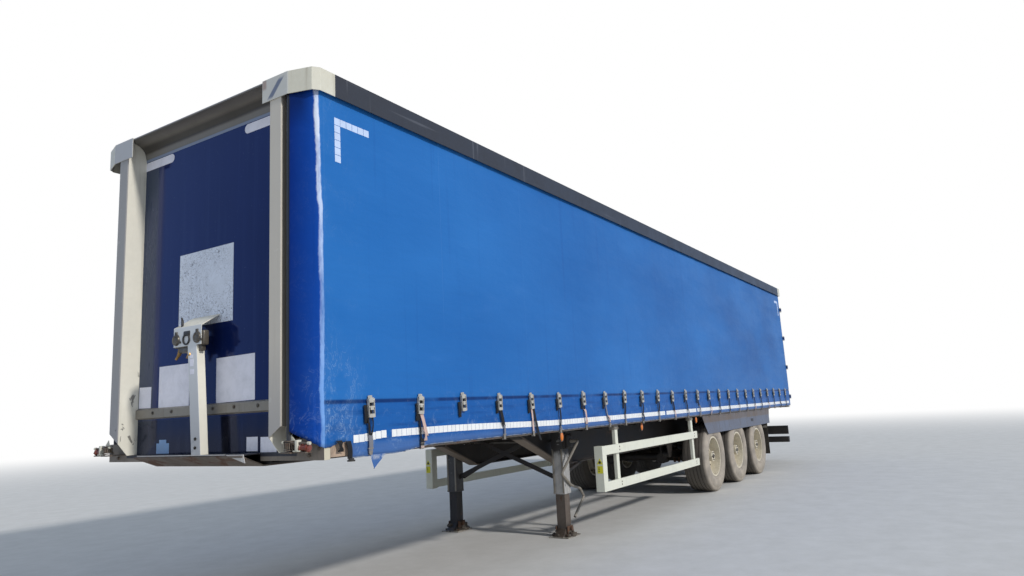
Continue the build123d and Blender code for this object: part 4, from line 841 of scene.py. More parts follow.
def soften_nodes():
    """Rounds the sharp edges of the plain metal pieces."""
    for width, nodes in SOFT_EDGES:
        for node in nodes:
            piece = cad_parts[node]
            weld = piece.modifiers.new("Weld", "WELD")
            weld.merge_threshold = 0.00002
            flat = piece.modifiers.new("Flat faces", "DECIMATE")
            flat.decimate_type = "DISSOLVE"
            flat.angle_limit = math.radians(0.5)
            edge = piece.modifiers.new("Round edges", "BEVEL")
            edge.width = width
            edge.segments = 2
            edge.limit_method = "ANGLE"
            edge.angle_limit = math.radians(30)
            edge.use_clamp_overlap = True
            edge.harden_normals = False


# Mesh pieces
def add_box(bm, low, high, place=None, round_by=0.0, steps=2):
    """Box between two corners, put in place by a matrix, with rounded edges."""
    low, high = Vector(low), Vector(high)
    matrix = Matrix.Translation((low + high) / 2) @ Matrix.Diagonal((*(high - low), 1.0))
    if place is not None:
        matrix = place @ matrix
    made = bmesh.ops.create_cube(bm, size=1.0, matrix=matrix)["verts"]
    if round_by:
        edges = list({edge for vert in made for edge in vert.link_edges})
        bmesh.ops.bevel(bm, geom=edges, offset=round_by, offset_type="OFFSET", affect="EDGES",
                        segments=steps, profile=0.5, material=-1)


def add_rod(bm, start, end, radius, end_radius=None, steps=16, place=None):
    """Round bar or cone between two points."""
    start, end = Vector(start), Vector(end)
    along = end - start
    matrix = Matrix.Translation((start + end) / 2) @ along.to_track_quat("Z", "Y").to_matrix().to_4x4()
    if place is not None:
        matrix = place @ matrix
    if end_radius is None:
        end_radius = radius
    bmesh.ops.create_cone(bm, cap_ends=True, cap_tris=False, segments=steps, radius1=radius,
                          radius2=end_radius, depth=along.length, matrix=matrix)


def add_lathe(bm, profile, centre, axis, steps=64, closed=False):
    """Turned shape: profile rows are a radius and a place along the axis."""
    axis = Vector(axis).normalized()
    out = axis.orthogonal().normalized()
    centre = Vector(centre)
    verts = [bm.verts.new(centre + out * radius + axis * along) for radius, along in profile]
    edges = [bm.edges.new(pair) for pair in zip(verts, verts[1:])]
    if closed:
        edges.append(bm.edges.new((verts[-1], verts[0])))
    bmesh.ops.spin(bm, geom=verts + edges, cent=centre, axis=axis, angle=math.tau, steps=steps,
                   use_merge=True, use_duplicate=False, use_normal_flip=False)
    bmesh.ops.remove_doubles(bm, verts=bm.verts, dist=0.00001)


def add_grid(bm, columns, rows, shape):
    """Sheet of columns by rows faces, whose points shape(u, v) puts in place, with u and v from 0 to 1."""
    made = bmesh.ops.create_grid(bm, x_segments=columns, y_segments=rows, size=0.5)["verts"]
    for vert in made:
        vert.co = shape(vert.co.x + 0.5, vert.co.y + 0.5)


def finish_piece(name, bm, material, body=BODY, replaces=(), angle=35.0):
    """Makes the mesh a piece that rides with its body, smooth up to an angle in degrees."""
    bmesh.ops.recalc_face_normals(bm, faces=bm.faces)
    mesh = bpy.data.meshes.new(name)
    bm.to_mesh(mesh)
    bm.free()
    mesh.materials.append(MATERIALS[material])
    mesh.polygons.foreach_set("use_smooth", [True] * len(mesh.polygons))
    mesh.set_sharp_from_angle(angle=math.radians(angle))
    piece = bpy.data.objects.new(name, mesh)
    bpy.context.scene.collection.objects.link(piece)
    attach(piece, body)
    if replaces:
        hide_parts(*replaces)
    return piece


def turned(x, y, z, angles=(0, 0, 0)):
    """Place at a point, turned about X, Y and Z in degrees."""
    matrix = Matrix.Translation((x, y, z))
    for angle, axis in zip(angles, "XYZ"):
        matrix = matrix @ Matrix.Rotation(math.radians(angle), 4, axis)
    return matrix


def on_side(x, y, z, turn):
    """Place on the left or the right side, turned so that its own Y points outwards."""
    return turned(x, turn * y, z, (0, 0, 0 if turn > 0 else 180))


def add_plate(bm, corners, move):
    """Plate with these corners, made as thick as the move is long."""
    verts = [bm.verts.new(corner) for corner in corners]
    made = bmesh.ops.extrude_face_region(bm, geom=[bm.faces.new(verts)])["geom"]
    bmesh.ops.translate(bm, vec=move, verts=[item for item in made if isinstance(item, bmesh.types.BMVert)])


def add_wall(piece, name, thickness):
    """Gives a sheet its thickness, half to each side."""
    wall = piece.modifiers.new(name, "SOLIDIFY")
    wall.thickness = thickness
    wall.offset = 0.0


# Curtains
def clip(value):
    """Value kept between 0 and 1."""
    return max(0.0, min(1.0, value))


def eased(share):
    """Share with a soft start and a soft end."""
    return share * share * (3 - 2 * share)


def ripple(x, y, z):
    """Smooth noise at a place, about -1 to 1."""
    return noise.noise(Vector((x, y, z)))


def wave(x, z, seed):
    """How far the cloth swells outwards at x and z, as a share of its wave."""
    broad = ripple(x * 0.55, z * 0.9, seed)
    folds = ripple(x * 3.2, z * 0.5, seed + 5)
    low = clip((1.75 - z) / 0.5)
    pull = math.cos(math.tau * (x - BUCKLE_FIRST_X) / BUCKLE_PITCH) * 0.35 * low
    crease = -0.8 * math.exp(-((z - CREASE_Z) / 0.014) ** 2)
    corner = clip((x - 5.9) / 0.7)
    gathers = ripple(x * 14.0, z * 1.1, seed + 9) * 0.55 * corner * (0.4 + low)
    sag = ripple(x * 6.0, z * 6.0, seed + 3) * 0.4 * low
    return broad * 1.1 + folds * 0.3 - pull * 0.8 + crease + gathers + sag


def curtain_path(along, z=CURTAIN_TOP):
    """Point in plan and outward direction at a distance back from the pole at the front, at a height."""
    pole_end = Vector((6.785, 1.0685))
    below = CURTAIN_TOP - z
    corner = Vector((FOLD_X - below * FOLD_LEAN - FOLD_BOW * math.sin(below * FOLD_WAVE), CURTAIN_Y))
    first = (corner - pole_end).length - 0.03
    arc = 0.052
    front_way = (corner - pole_end).normalized()
    front_out = Vector((front_way.y, -front_way.x))
    if along <= first:
        return pole_end + front_way * along, front_out
    start = pole_end + front_way * first
    end = Vector((corner.x - 0.03, CURTAIN_Y))
    if along <= first + arc:
        share = (along - first) / arc
        inverse = 1 - share
        point = start * inverse * inverse + corner * (2 * share * inverse) + end * share * share
        return point, (front_out * inverse + Vector((0, 1)) * share).normalized()
    return Vector((end.x - (along - first - arc), CURTAIN_Y)), Vector((0, 1))


def front_sag(x):
    """How far the cloth has dropped near the front, where its tensioner no longer pulls."""
    return -SAG_DEPTH * eased(clip((x - SAG_FROM_X) / (SAG_TO_X - SAG_FROM_X)))


def tape_foot(x):
    """Height of the reflective tape, which runs up slightly towards the front and drops at its end."""
    return TAPE_Z + 0.03 * eased(clip((x - 3.4) / 2.2)) - 0.018 * eased(clip((x - 6.1) / 0.3))


def hem_height(x, y):
    """Height of the cloth's lower edge, which is torn up towards the front corner."""
    ragged = 0.006 * ripple(x * 40.0, y * 30.0, 2.0)
    if x < TEAR_X:
        return HEM_Z + front_sag(x) + 0.3 * ragged
    if y > 1.235:
        rise = min(1.0, (x - TEAR_X) / 0.04)
        return 1.145 + 0.095 * rise - 0.028 * clip((x - 6.52) / 0.1) + ragged
    return 1.212 + 0.109 * (CURTAIN_Y - y) / 0.17 + ragged


def curtain_point(along, z, turn, swell, lift=0.0):
    """Point of the cloth, or just above it, at a distance along its path and a height."""
    point, out = curtain_path(along, z)
    x, y = point
    seed = CLOTH_SEEDS[turn]
    depth = swell * wave(x, z, seed) + lift
    if y < 1.2:
        depth = lift + swell * 0.6 * ripple(y * 9.0, z * 1.3, seed)
    point = point + out * depth
    return Vector((point.x, turn * point.y, z))


def build_curtains(look):
    """Left curtain round its pole, with a torn corner, and the right one, which is slid back a little."""
    for side, turn in SIDES:
        whole = CURTAIN_LENGTH if turn > 0 else OPEN_EDGE_X - REAR_EDGE_X
        start = 0.0 if turn > 0 else CURTAIN_LENGTH - whole
        dense = start + 0.62
        bm = bmesh.new()

        def shape(u, v):
            along = start + (dense - start) * u / 0.2
            if u > 0.2:
                along = dense + (CURTAIN_LENGTH - dense) * (u - 0.2) / 0.8
            x, y = curtain_path(along, 1.2)[0]
            low = hem_height(x, y) if turn > 0 else HEM_Z + 0.002 * ripple(x * 12, 0, 5)
            z = low + (CURTAIN_TOP - low) * v
            return curtain_point(along, z, turn, look.curtain_wave)

        add_grid(bm, 400, 78, shape)
        piece = finish_piece(f"curtain_sheet_{side}", bm, "curtain_cloth",
                             replaces=(f"curtain_{side}",), angle=180)
        add_wall(piece, "Cloth thickness", CLOTH_THICKNESS)


def add_tape(bm, start, end, low, high, turn, look):
    """One piece of tape that lies on the cloth between two distances and two heights."""
    def shape(u, v):
        z = low + (high - low) * v
        return curtain_point(start + (end - start) * u, z, turn, look.curtain_wave, TAPE_LIFT)
    add_grid(bm, 2, 2, shape)


def finish_tape(name, bm, material):
    """Tape as a thin wall with flat faces."""
    bmesh.ops.recalc_face_normals(bm, faces=bm.faces)
    bmesh.ops.solidify(bm, geom=bm.faces[:], thickness=0.0005)
    finish_piece(name, bm, material, angle=20)


def build_tape(look):
    """Reflective tape along the hem, with a gap, and pale marks at the upper corners."""
    draw = random.Random(7)
    for side, turn in SIDES:
        hem = bmesh.new()
        marks = bmesh.new()
        zero = curtain_path(1.0, 1.3)[0].x + 1.0
        x = 6.405
        while x > -6.6:
            missing = turn > 0 and 6.05 < x < 6.12
            if not missing and draw.random() > 0.012:
                low = tape_foot(x) if turn > 0 else TAPE_Z
                add_tape(hem, zero - x, zero - x + TAPE_LENGTH, low, low + look.tape_height, turn, look)
            x -= TAPE_PITCH
        zero = curtain_path(1.0, 3.4)[0].x + 1.0

        def mark(x, top, length=MARK_LENGTH):
            add_tape(marks, zero - x, zero - x + length, top - MARK_HEIGHT, top, turn, look)

        for i in range(6):
            mark(MARK_FRONT_X, MARK_TOP - i * MARK_STEP_Z, 0.054)
        for i in range(1, 6):
            mark(MARK_FRONT_X - i * MARK_STEP_X, MARK_TOP)
        for i in range(5):
            mark(-6.3 - i * MARK_STEP_X, MARK_TOP)
            mark(-6.526, MARK_TOP - MARK_LENGTH - i * MARK_STEP_Z)
        finish_tape(f"hem_tape_{side}", hem, "reflective_tape")
        finish_tape(f"corner_marks_{side}", marks, "faded_film")


def build_torn_flap():
    """Torn triangle of cloth that hangs below the hem near the front."""
    bm = bmesh.new()
    top_from = Vector((6.252, 1.2425, 1.14))
    top_to = Vector((6.096, 1.2425, 1.14))
    tip = Vector((6.214, 1.2385, 1.045))

    def shape(u, v):
        edge = top_from.lerp(top_to, u)
        point = edge.lerp(tip, (1 - v) ** 0.9)
        point.y += 0.004 * math.sin(6.0 * u) * (1 - v)
        return point

    add_grid(bm, 8, 8, shape)
    bmesh.ops.remove_doubles(bm, verts=bm.verts, dist=0.0001)
    bmesh.ops.recalc_face_normals(bm, faces=bm.faces)
    bmesh.ops.solidify(bm, geom=bm.faces[:], thickness=CLOTH_THICKNESS)
    finish_piece("torn_flap", bm, "curtain_cloth", angle=60)


# Buckles and straps
def add_buckle(bm, place):
    """Over-centre buckle: two cheeks, three pins, three cross plates, and a tab with its rivet."""
    for x in (-0.029, 0.0245):
        add_box(bm, (x, 0.0, -0.122), (x + 0.0045, 0.019, 0.004), place, 0.001, 1)
    for z, radius in ((-0.006, 0.006), (-0.052, 0.005), (-0.112, 0.006)):
        add_rod(bm, (-0.029, 0.011, z), (0.029, 0.011, z), radius, steps=10, place=place)
    add_box(bm, (-0.02, 0.013, -0.024), (0.02, 0.0175, 0.01), place, 0.0015, 1)
    add_box(bm, (-0.018, 0.013, -0.074), (0.013, 0.0175, -0.046), place, 0.001, 1)
    add_box(bm, (-0.024, 0.012, -0.124), (0.02, 0.0175, -0.098), place, 0.0015, 1)
    add_box(bm, (-0.02, 0.0, -0.004), (0.02, 0.005, 0.024), place, 0.0015, 1)
    add_rod(bm, (0, 0.001, 0.02), (0, 0.0065, 0.02), 0.006, steps=8, place=place)


def add_strap(bm, x, turn, top, foot, width, twist, shift, slack):
    """Webbing that hangs from top to foot, turned and shifted as it goes down."""
    def shape(u, v):
        down = 1 - v
        angle = twist * math.sin(math.pi * min(1.0, down * 1.05)) + 0.15 * twist * down
        across = (u - 0.5) * width
        out = STRAP_Y + slack * math.sin(math.pi * down) + abs(across * math.sin(angle))
        at_x = x + across * math.cos(angle) + shift * down * down
        return Vector((at_x, turn * min(out, STRAP_REACH), foot + (top - foot) * v))
    add_grid(bm, 3, 10, shape)


LOOSE = 2
FRONT_STRAPS = {
    0: (("black", 0.026, 1.4, 1.26, 0.45, 0.3, -0.016), ("black", -0.014, 1.4, 1.26, 0.4, 0.9, 0.012),
        ("grey", 0.004, 1.28, 1.15, 0.9, 0.1, 0.0)),
    1: (("black", 0.018, 1.4, 1.21, 0.4, 0.3, -0.02), ("faded", -0.004, 1.41, 1.23, 0.9, 0.5, -0.06),
        ("faded", -0.03, 1.29, 1.195, 0.9, 1.2, -0.012), ("black", -0.004, 1.215, 1.16, 0.9, 0.2, 0.0),
        ("faded", -0.01, 1.165, 1.14, 0.8, 0.1, 0.0)),
    3: (("black", -0.01, 1.42, 1.25, 1.0, 0.35, -0.05), ("grey", -0.058, 1.27, 1.165, 0.5, 0.1, 0.0)),
    4: (("black", -0.03, 1.44, 1.095, 0.8, 0.3, -0.11), ("faded", 0.0, 1.42, 1.16, 0.6, 0.4, -0.02)),
    5: (("black", 0.0, 1.42, 1.2, 0.6, 0.4, -0.01), ("grey", -0.01, 1.21, 1.165, 0.5, 0.1, 0.0)),
    6: (("black", 0.0, 1.42, 1.34, 0.8, 0.3, -0.01), ("faded", -0.012, 1.36, 1.2, 1.1, 0.9, -0.03)),
    7: (("grey", 0.0, 1.42, 1.2, 0.6, 0.3, -0.06), ("faded", -0.05, 1.27, 1.195, 0.8, 1.0, -0.04)),
}


def strap_rows(turn, i, draw):
    """Webbing of one buckle: colour, offset, top, foot, width, twist and shift of each length."""
    if turn > 0 and i == LOOSE:
        return ()
    if turn > 0 and i in FRONT_STRAPS:
        return FRONT_STRAPS[i]
    shift = draw.uniform(-0.07, 0.01)
    middle = draw.uniform(1.22, 1.3)
    lower = draw.choice(("black", "black", "faded", "grey"))
    width, twist = draw.uniform(0.7, 1.0), draw.uniform(-0.6, 0.6)
    upper = ("black", 0.0, STRAP_TOP, middle, width, twist, shift)
    width, twist = draw.uniform(0.5, 0.9), draw.uniform(-0.9, 0.9)
    return (upper, (lower, shift, middle + 0.02, HEM_Z, width, twist, draw.uniform(-0.02, 0.01)))


def add_hook(bm, x, turn):
    """Flat hook at a strap's foot, with the bar that the strap goes round."""
    add_box(bm, (x - 0.014, turn * 1.2335, 1.1395), (x + 0.014, turn * 1.258, 1.1445))
    add_box(bm, (x - 0.014, turn * 1.2515, 1.14), (x + 0.014, turn * HOOK_Y, 1.185))
    add_rod(bm, (x - 0.024, turn * HOOK_Y, 1.182), (x + 0.024, turn * HOOK_Y, 1.182), 0.004, steps=8)
    add_rod(bm, (x, turn * 1.2355, 1.142), (x, turn * 1.2355, 1.155), 0.005, steps=8)


def build_buckles(look):
    """Buckles, webbing and hooks of both sides, with two loose straps at the tear."""
    draw = random.Random(21)
    metal = bmesh.new()
    hooks = bmesh.new()
    straps = {"black": bmesh.new(), "grey": bmesh.new(), "faded": bmesh.new()}
    for turn in (1, -1):
        for i in range(look.buckle_count):
            x = BUCKLE_FIRST_X - i * BUCKLE_PITCH
            place = on_side(x, BUCKLE_Y, BUCKLE_Z + draw.uniform(-0.006, 0.008), turn)
            place = place @ Matrix.Rotation(math.radians(draw.uniform(-6, 6)), 4, "Y")
            add_buckle(metal, place)
            tail = draw.uniform(0.038, 0.052)
            foot = 1.35 + draw.uniform(-0.02, 0.015)
            shift = draw.uniform(-0.01, 0.012)
            add_strap(straps["black"], x + tail, turn, 1.47, foot, look.strap_width * 0.75, 0.3, shift, 0.001)
            add_strap(straps["black"], x, turn, 1.5, 1.4, look.strap_width, 0.0, 0.0, 0.0)
            rows = strap_rows(turn, i, draw)
            for colour, offset, top, foot, width, twist, shift in rows:
                add_strap(straps[colour], x + offset, turn, top, foot, look.strap_width * width, twist, shift,
                          draw.uniform(0.001, 0.008))
            if rows:
                offset, shift = rows[-1][1], rows[-1][-1]
                add_hook(hooks, x + offset + shift, turn)
    for x, top, foot, width, twist in ((6.462, 1.242, 1.132, 1.05, 0.4), (6.545, 1.25, 1.18, 1.2, 1.0)):
        add_strap(straps["black"], x, 1, top, foot, look.strap_width * width, twist, -0.012, 0.004)
    finish_piece("buckle_frames", metal, "buckle_steel", replaces=("curtain_buckles",))
    finish_piece("strap_hooks", hooks, "galvanised")
    for colour, bm in straps.items():
        piece = finish_piece(f"straps_{colour}", bm, f"webbing_{colour}", angle=180)
        add_wall(piece, "Webbing thickness", WEBBING_THICKNESS)


# Wheels
TREAD = ((0.520, 0.0), (0.520, 0.022), (0.508, 0.024), (0.508, 0.034), (0.520, 0.036), (0.520, 0.074),
         (0.508, 0.076), (0.508, 0.086), (0.5197, 0.088), (0.5190, 0.122), (0.509, 0.124), (0.509, 0.131),
         (0.518, 0.133), (0.5155, 0.150), (0.508, 0.1630), (0.498, 0.1705), (0.486, 0.1745), (0.474, 0.1770),
         (0.468, 0.1755), (0.462, 0.1790), (0.450, 0.1850), (0.430, 0.1900), (0.405, 0.1925), (0.380, 0.1912),
         (0.360, 0.1870), (0.344, 0.1810), (0.338, 0.1765), (0.334, 0.1790), (0.328, 0.1785), (0.324, 0.1735),
         (0.314, 0.1660), (0.304, 0.1580), (0.3003, 0.1510), (0.3000, 0.1497), (0.2862, 0.1495))


def each_wheel():
    """Side, number, direction of the side and axle place of every wheel."""
    for side, turn in SIDES:
        for number, x in enumerate(AXLES, start=1):
            yield side, number, turn, x


def wheel_ring(x, count, radius, shift=0.0):
    """Places on a circle round the axle at x, moved along by a share of a step."""
    for i in range(count):
        angle = math.tau * (i + shift) / count
        yield x + radius * math.cos(angle), WHEEL_Z + radius * math.sin(angle)


def build_tyres():
    """Tyre of each wheel, turned from half of its section and the mirror of that half."""
    profile = [(radius, -across) for radius, across in reversed(TREAD[1:])] + list(TREAD)
    for side, number, turn, x in each_wheel():
        bm = bmesh.new()
        add_lathe(bm, profile, (x, turn * WHEEL_Y, WHEEL_Z), (0, turn, 0), steps=96, closed=True)
        finish_piece(f"tyre_tread_{side}_{number}", bm, "tyre", body=f"{side}_wheel_{number}",
                     replaces=(f"tyre_{side}_{number}",), angle=38)


def build_wheel_fittings():
    """Nuts and studs, hub bolts and cap, valve and centring ring of each wheel."""
    for side, number, turn, x in each_wheel():
        bm = bmesh.new()
        face = turn * (WHEEL_Y + 0.016)
        for at_x, at_z in wheel_ring(x, 10, 0.168, 0.5):
            add_rod(bm, (at_x, face, at_z), (at_x, face + turn * 0.024, at_z), 0.0175, 0.016, steps=6)
            add_rod(bm, (at_x, face, at_z), (at_x, face + turn * 0.04, at_z), 0.0105, steps=10)
        cap = turn * (WHEEL_Y + 0.1385)
        for at_x, at_z in wheel_ring(x, 6, 0.06):
            add_rod(bm, (at_x, cap - turn * 0.002, at_z), (at_x, cap + turn * 0.008, at_z), 0.009, steps=6)
        add_rod(bm, (x, cap, WHEEL_Z), (x, cap + turn * 0.012, WHEEL_Z), 0.034, 0.028, steps=24)
        valve_foot = (x + 0.255, turn * (WHEEL_Y + 0.012), WHEEL_Z)
        add_rod(bm, valve_foot, (x + 0.262, turn * (WHEEL_Y + 0.12), WHEEL_Z), 0.006, steps=10)
        add_lathe(bm, ((0.1455, 0.001), (0.152, 0.004), (0.152, 0.018), (0.1455, 0.022)),
                  (x, face, WHEEL_Z), (0, turn, 0), steps=48, closed=True)
        finish_piece(f"wheel_nuts_{side}_{number}", bm, "greasy_steel", body=f"{side}_wheel_{number}")


# Front wall
def build_films():
    """Blank films and tape on the front wall, and a pale plate and strip on its lip, painted light for the
    lip's sunlit end and top edge.
    """
    face = BOARD_X + 0.0001
    film_thickness = 0.0012

    def film(name, rows, material, thickness=film_thickness):
        bm = bmesh.new()
        for y0, y1, z0, z1, tilt in rows:
            place = turned(face, (y0 + y1) / 2, (z0 + z1) / 2, (tilt, 0, 0))
            half_y, half_z = (y1 - y0) / 2, (z1 - z0) / 2
            add_box(bm, (0, -half_y, -half_z), (thickness, half_y, half_z), place)
        finish_piece(name, bm, material)

    film("cracked_panel", ((-0.368, 0.287, 2.125, 2.70, 0),), "cracked_film", 0.002)
    film("white_squares", ((-0.605, -0.217, 1.53, 1.855, 0), (0.108, 0.537, 1.545, 1.867, 0.6),
                           (-0.871, -0.709, 1.545, 1.709, -1.0), (0.455, 0.572, 1.20, 1.296, 0),
                           (0.602, 0.765, 1.192, 1.293, 0)), "white_film")
    film("blue_label", ((-0.615, -0.453, 1.196, 1.272, 0), (-0.58, -0.49, 1.272, 1.298, 0)), "blue_film")
    tape = bmesh.new()
    middle, half = 3.538, 0.036
    for inner, outer in ((0.437, 0.88), (-0.522, -0.6815), (-0.6835, -0.88)):
        turn = 1 if outer > 0 else -1
        rounded = abs(inner) < 0.6
        ring = [(face, outer, middle - half), (face, outer, middle + half)]
        for i in range(13):
            angle = math.pi * (i / 12 - 0.5)
            reach = half * math.cos(angle) if rounded else 0.0
            ring.append((face, inner - turn * reach, middle - half * math.sin(angle)))
        add_plate(tape, ring, (film_thickness, 0, 0))
    bmesh.ops.remove_doubles(tape, verts=tape.verts, dist=0.00005)
    finish_piece("header_tape", tape, "white_film")
    # Pale plate and strip on the lip: painted light standing in for its sunlit end and top edge
    plate = bmesh.new()
    corners = ((0.44, 1.1895), (0.629, 1.1895), (0.648, 1.134), (0.485, 1.176))
    add_plate(plate, [(LIP_X, y, z) for y, z in corners], (0.005, 0, 0))
    add_box(plate, (LIP_X, -0.6, 1.1855), (LIP_X + 0.005, 0.44, 1.1915))
    finish_piece("lip_painted_light_plate", plate, "painted_lip_light")


def build_front_bolts():
    """Bolts of the front wall's rail, the coupling stand and the corner caps."""
    bm = bmesh.new()
    draw = random.Random(5)
    rail = BOARD_X + 0.02
    for y in (-0.645, -0.399, 0.1, 0.342, 0.598):
        z = 1.504 + draw.uniform(-0.004, 0.004)
        add_rod(bm, (rail, y, z), (rail + 0.01, y, z), 0.011, 0.008, steps=8)
        add_rod(bm, (rail, y, z), (rail + 0.0035, y, z), 0.015, steps=14)
    for turn in (1, -1):
        knob = (turn * 0.965, 3.692)
        add_rod(bm, (FRONT - 0.006, *knob), (FRONT - 0.0004, *knob), 0.013, 0.009, steps=14)
        for z in (3.608, 3.655, 3.7):
            add_rod(bm, (FRONT - 0.006, turn * 0.842, z), (FRONT - 0.0005, turn * 0.842, z), 0.008, steps=8)
            add_rod(bm, (6.585, turn * 1.27, z), (6.585, turn * 1.2748, z), 0.007, steps=8)
        for z in (1.24, 1.3):
            add_rod(bm, (FRONT - 0.02, 0.105, z), (FRONT - 0.007, 0.105, z), 0.011, steps=6)
    finish_piece("front_bolts", bm, "greasy_steel")


def build_stand_head():
    """Coupling head: block, two hose couplings, a socket, their fittings and handles."""
    block = bmesh.new()
    add_box(block, (6.728, -0.198, 1.955), (6.778, 0.158, 2.062), round_by=0.012, steps=3)
    add_box(block, (6.735, -0.16, 1.915), (6.77, 0.13, 1.96), round_by=0.006)
    for y in (-0.15, 0.1):
        cover = ((0.0, 0.012), (0.012, 0.014), (0.022, 0.011), (0.03, 0.016), (0.038, 0.014), (0.042, 0.004),
                 (0.042, -0.03), (0.0, -0.03))
        add_lathe(block, cover, (6.783, y, 2.012), (1, 0, 0), steps=28)
        add_box(block, (6.782, y - 0.012, 2.04), (6.795, y + 0.012, 2.072), round_by=0.003)
        add_box(block, (6.784, y + 0.03, 1.985), (6.796, y + 0.06, 2.0), round_by=0.003)
    finish_piece("coupling_block", block, "greasy_steel", replaces=("air_couplings",))
    socket = bmesh.new()
    lid = ((0.0, -0.012), (0.03, -0.012), (0.032, 0.012), (0.041, 0.012), (0.043, -0.01), (0.0, -0.03))
    add_lathe(socket, lid, (6.784, -0.025, 2.008), (1, 0, 0), steps=32)
    add_box(socket, (6.766, -0.066, 2.03), (6.79, 0.016, 2.07), round_by=0.008, steps=3)
    add_box(socket, (6.762, -0.118, 2.055), (6.776, -0.098, 2.155), round_by=0.005)
    add_rod(socket, (6.769, -0.108, 2.15), (6.769, -0.118, 2.175), 0.009, 0.006, steps=12)
    finish_piece("coupling_socket", socket, "lamp_housing")
    brass = bmesh.new()
    for y, tilt in ((-0.135, -0.02), (0.005, 0.015), (-0.02, -0.01)):
        add_rod(brass, (6.752, y, 1.957), (6.762, y + tilt, 1.9), 0.017, 0.015, steps=6)
        add_rod(brass, (6.758, y + tilt * 0.8, 1.912), (6.77, y + tilt * 2, 1.872), 0.011, 0.009, steps=14)
    add_rod(brass, (6.77, -0.02, 1.885), (6.785, 0.025, 1.9), 0.01, steps=12)
    finish_piece("coupling_fittings", brass, "brass")
    labels = bmesh.new()
    for z, half_y, half_z in ((1.88, 0.018, 0.012), (1.835, 0.02, 0.026), (1.77, 0.024, 0.018)):
        y = 0.11 - 0.07 * (z - 1.19) / 0.77
        add_box(labels, (6.7862, y - half_y - 0.01, z - half_z), (6.7872, y + half_y - 0.01, z + half_z))
    finish_piece("stand_labels", labels, "white_film")


def build_tensioners():
    """Ratchets that turn the curtain poles on their brackets, with bar, clamp and drum."""
    worn = bmesh.new()
    bright = bmesh.new()
    red = bmesh.new()
    x = POLE_X
    collar = ((0.0175, 0.0), (0.033, 0.0), (0.034, 0.003), (0.033, 0.006), (0.0175, 0.006))
    drum = ((0.0, 0.0), (0.024, 0.0), (0.026, 0.006), (0.02, 0.01), (0.02, 0.05), (0.026, 0.054),
            (0.026, 0.066), (0.0, 0.066))
    teeth = 14
    for turn in (1, -1):
        y = turn * POLE_Y
        add_box(worn, (6.6525, y - 0.045, 1.1902), (6.799, y + 0.045, 1.198), round_by=0.002)
        for z in (1.205, 1.262):
            add_lathe(worn, collar, (x, y, z), (0, 0, 1), steps=28, closed=True)
        for i in range(teeth):
            place = turned(x, y, 1.235, (0, 0, 360 * i / teeth))
            add_box(worn, (0.017, -0.004, -0.02), (0.031, 0.003, 0.02), place)
        add_rod(worn, (x + 0.012, turn * 1.0, 1.258), (x + 0.002, turn * 1.232, 1.25), 0.0065, steps=12)
        add_rod(bright, (x + 0.002, turn * 1.219, 1.2505), (x + 0.001, turn * 1.238, 1.25), 0.0105, steps=14)
        add_rod(bright, (x + 0.012, turn * 0.999, 1.258), (x + 0.0115, turn * 1.013, 1.2575), 0.009, steps=14)
        clamp = on_side(x + 0.004, 1.132, 0, turn)
        add_box(bright, (-0.018, -0.012, 1.199), (0.018, 0.012, 1.272), clamp, 0.004)
        add_box(bright, (-0.018, -0.03, 1.199), (0.018, 0.03, 1.208), clamp, 0.003)
        pawl = on_side(x - 0.004, 1.07, 0, turn)
        corners = [pawl @ Vector((0.0, dy, z)) for dy, z in ((-0.03, 1.268), (0.03, 1.268), (-0.014, 1.312))]
        add_plate(bright, corners, pawl.to_3x3() @ Vector((0.005, 0, 0)))
        add_lathe(red, drum, (x - 0.006, turn * 1.15, 1.222), (0, turn, 0), steps=24)
        add_rod(red, (x - 0.006, turn * 1.2, 1.24), (x + 0.012, turn * 1.228, 1.214), 0.008, steps=10)
        low, high = sorted((turn * 1.15, turn * 1.216))
        add_box(worn, (x - 0.03, low, 1.191), (x + 0.02, high, 1.199))
        add_rod(worn, (6.6522, turn * 1.1, 1.168), (6.664, turn * 1.1, 1.168), 0.014, 0.011, steps=12)
        add_rod(worn, (6.6522, turn * 1.19, 1.21), (6.66, turn * 1.19, 1.21), 0.011, 0.009, steps=12)
    finish_piece("curtain_tensioners", worn, "rusty_steel",
                 replaces=("curtain_ratchets",))
    finish_piece("tensioner_clamps", bright, "cream_paint")
    finish_piece("tensioner_drums", red, "red_lead")


# Landing legs
def add_tube(bm, points, radius):
    """Bent round bar: a smooth curve through the points, made a mesh."""
    curve = bpy.data.curves.new("bar", "CURVE")
    curve.dimensions = "3D"
    curve.bevel_depth = radius
    curve.bevel_resolution = 3
    curve.use_fill_caps = True
    spline = curve.splines.new("NURBS")
    spline.points.add(len(points) - 1)
    for point, place in zip(spline.points, points):
        point.co = (*place, 1.0)
    spline.order_u = 3
    spline.use_endpoint_u = True
    spline.resolution_u = 8
    shown = bpy.data.objects.new("bar", curve)
    mesh = bpy.data.meshes.new_from_object(shown)
    bm.from_mesh(mesh)
    bpy.data.objects.remove(shown)
    bpy.data.curves.remove(curve)
    bpy.data.meshes.remove(mesh)


def add_clod(bm, centre, radius, seed):
    """Lump of mud, flattened and uneven."""
    for vert in bmesh.ops.create_icosphere(bm, subdivisions=2, radius=radius)["verts"]:
        bumpy = 1 + 0.5 * noise.noise(vert.co * 38.0 + Vector((seed, seed * 2, 0)))
        x, y, z = vert.co * bumpy
        vert.co = Vector((x, y, z * 0.75)) + Vector(centre)
        vert.co.z = max(0.001, vert.co.z)


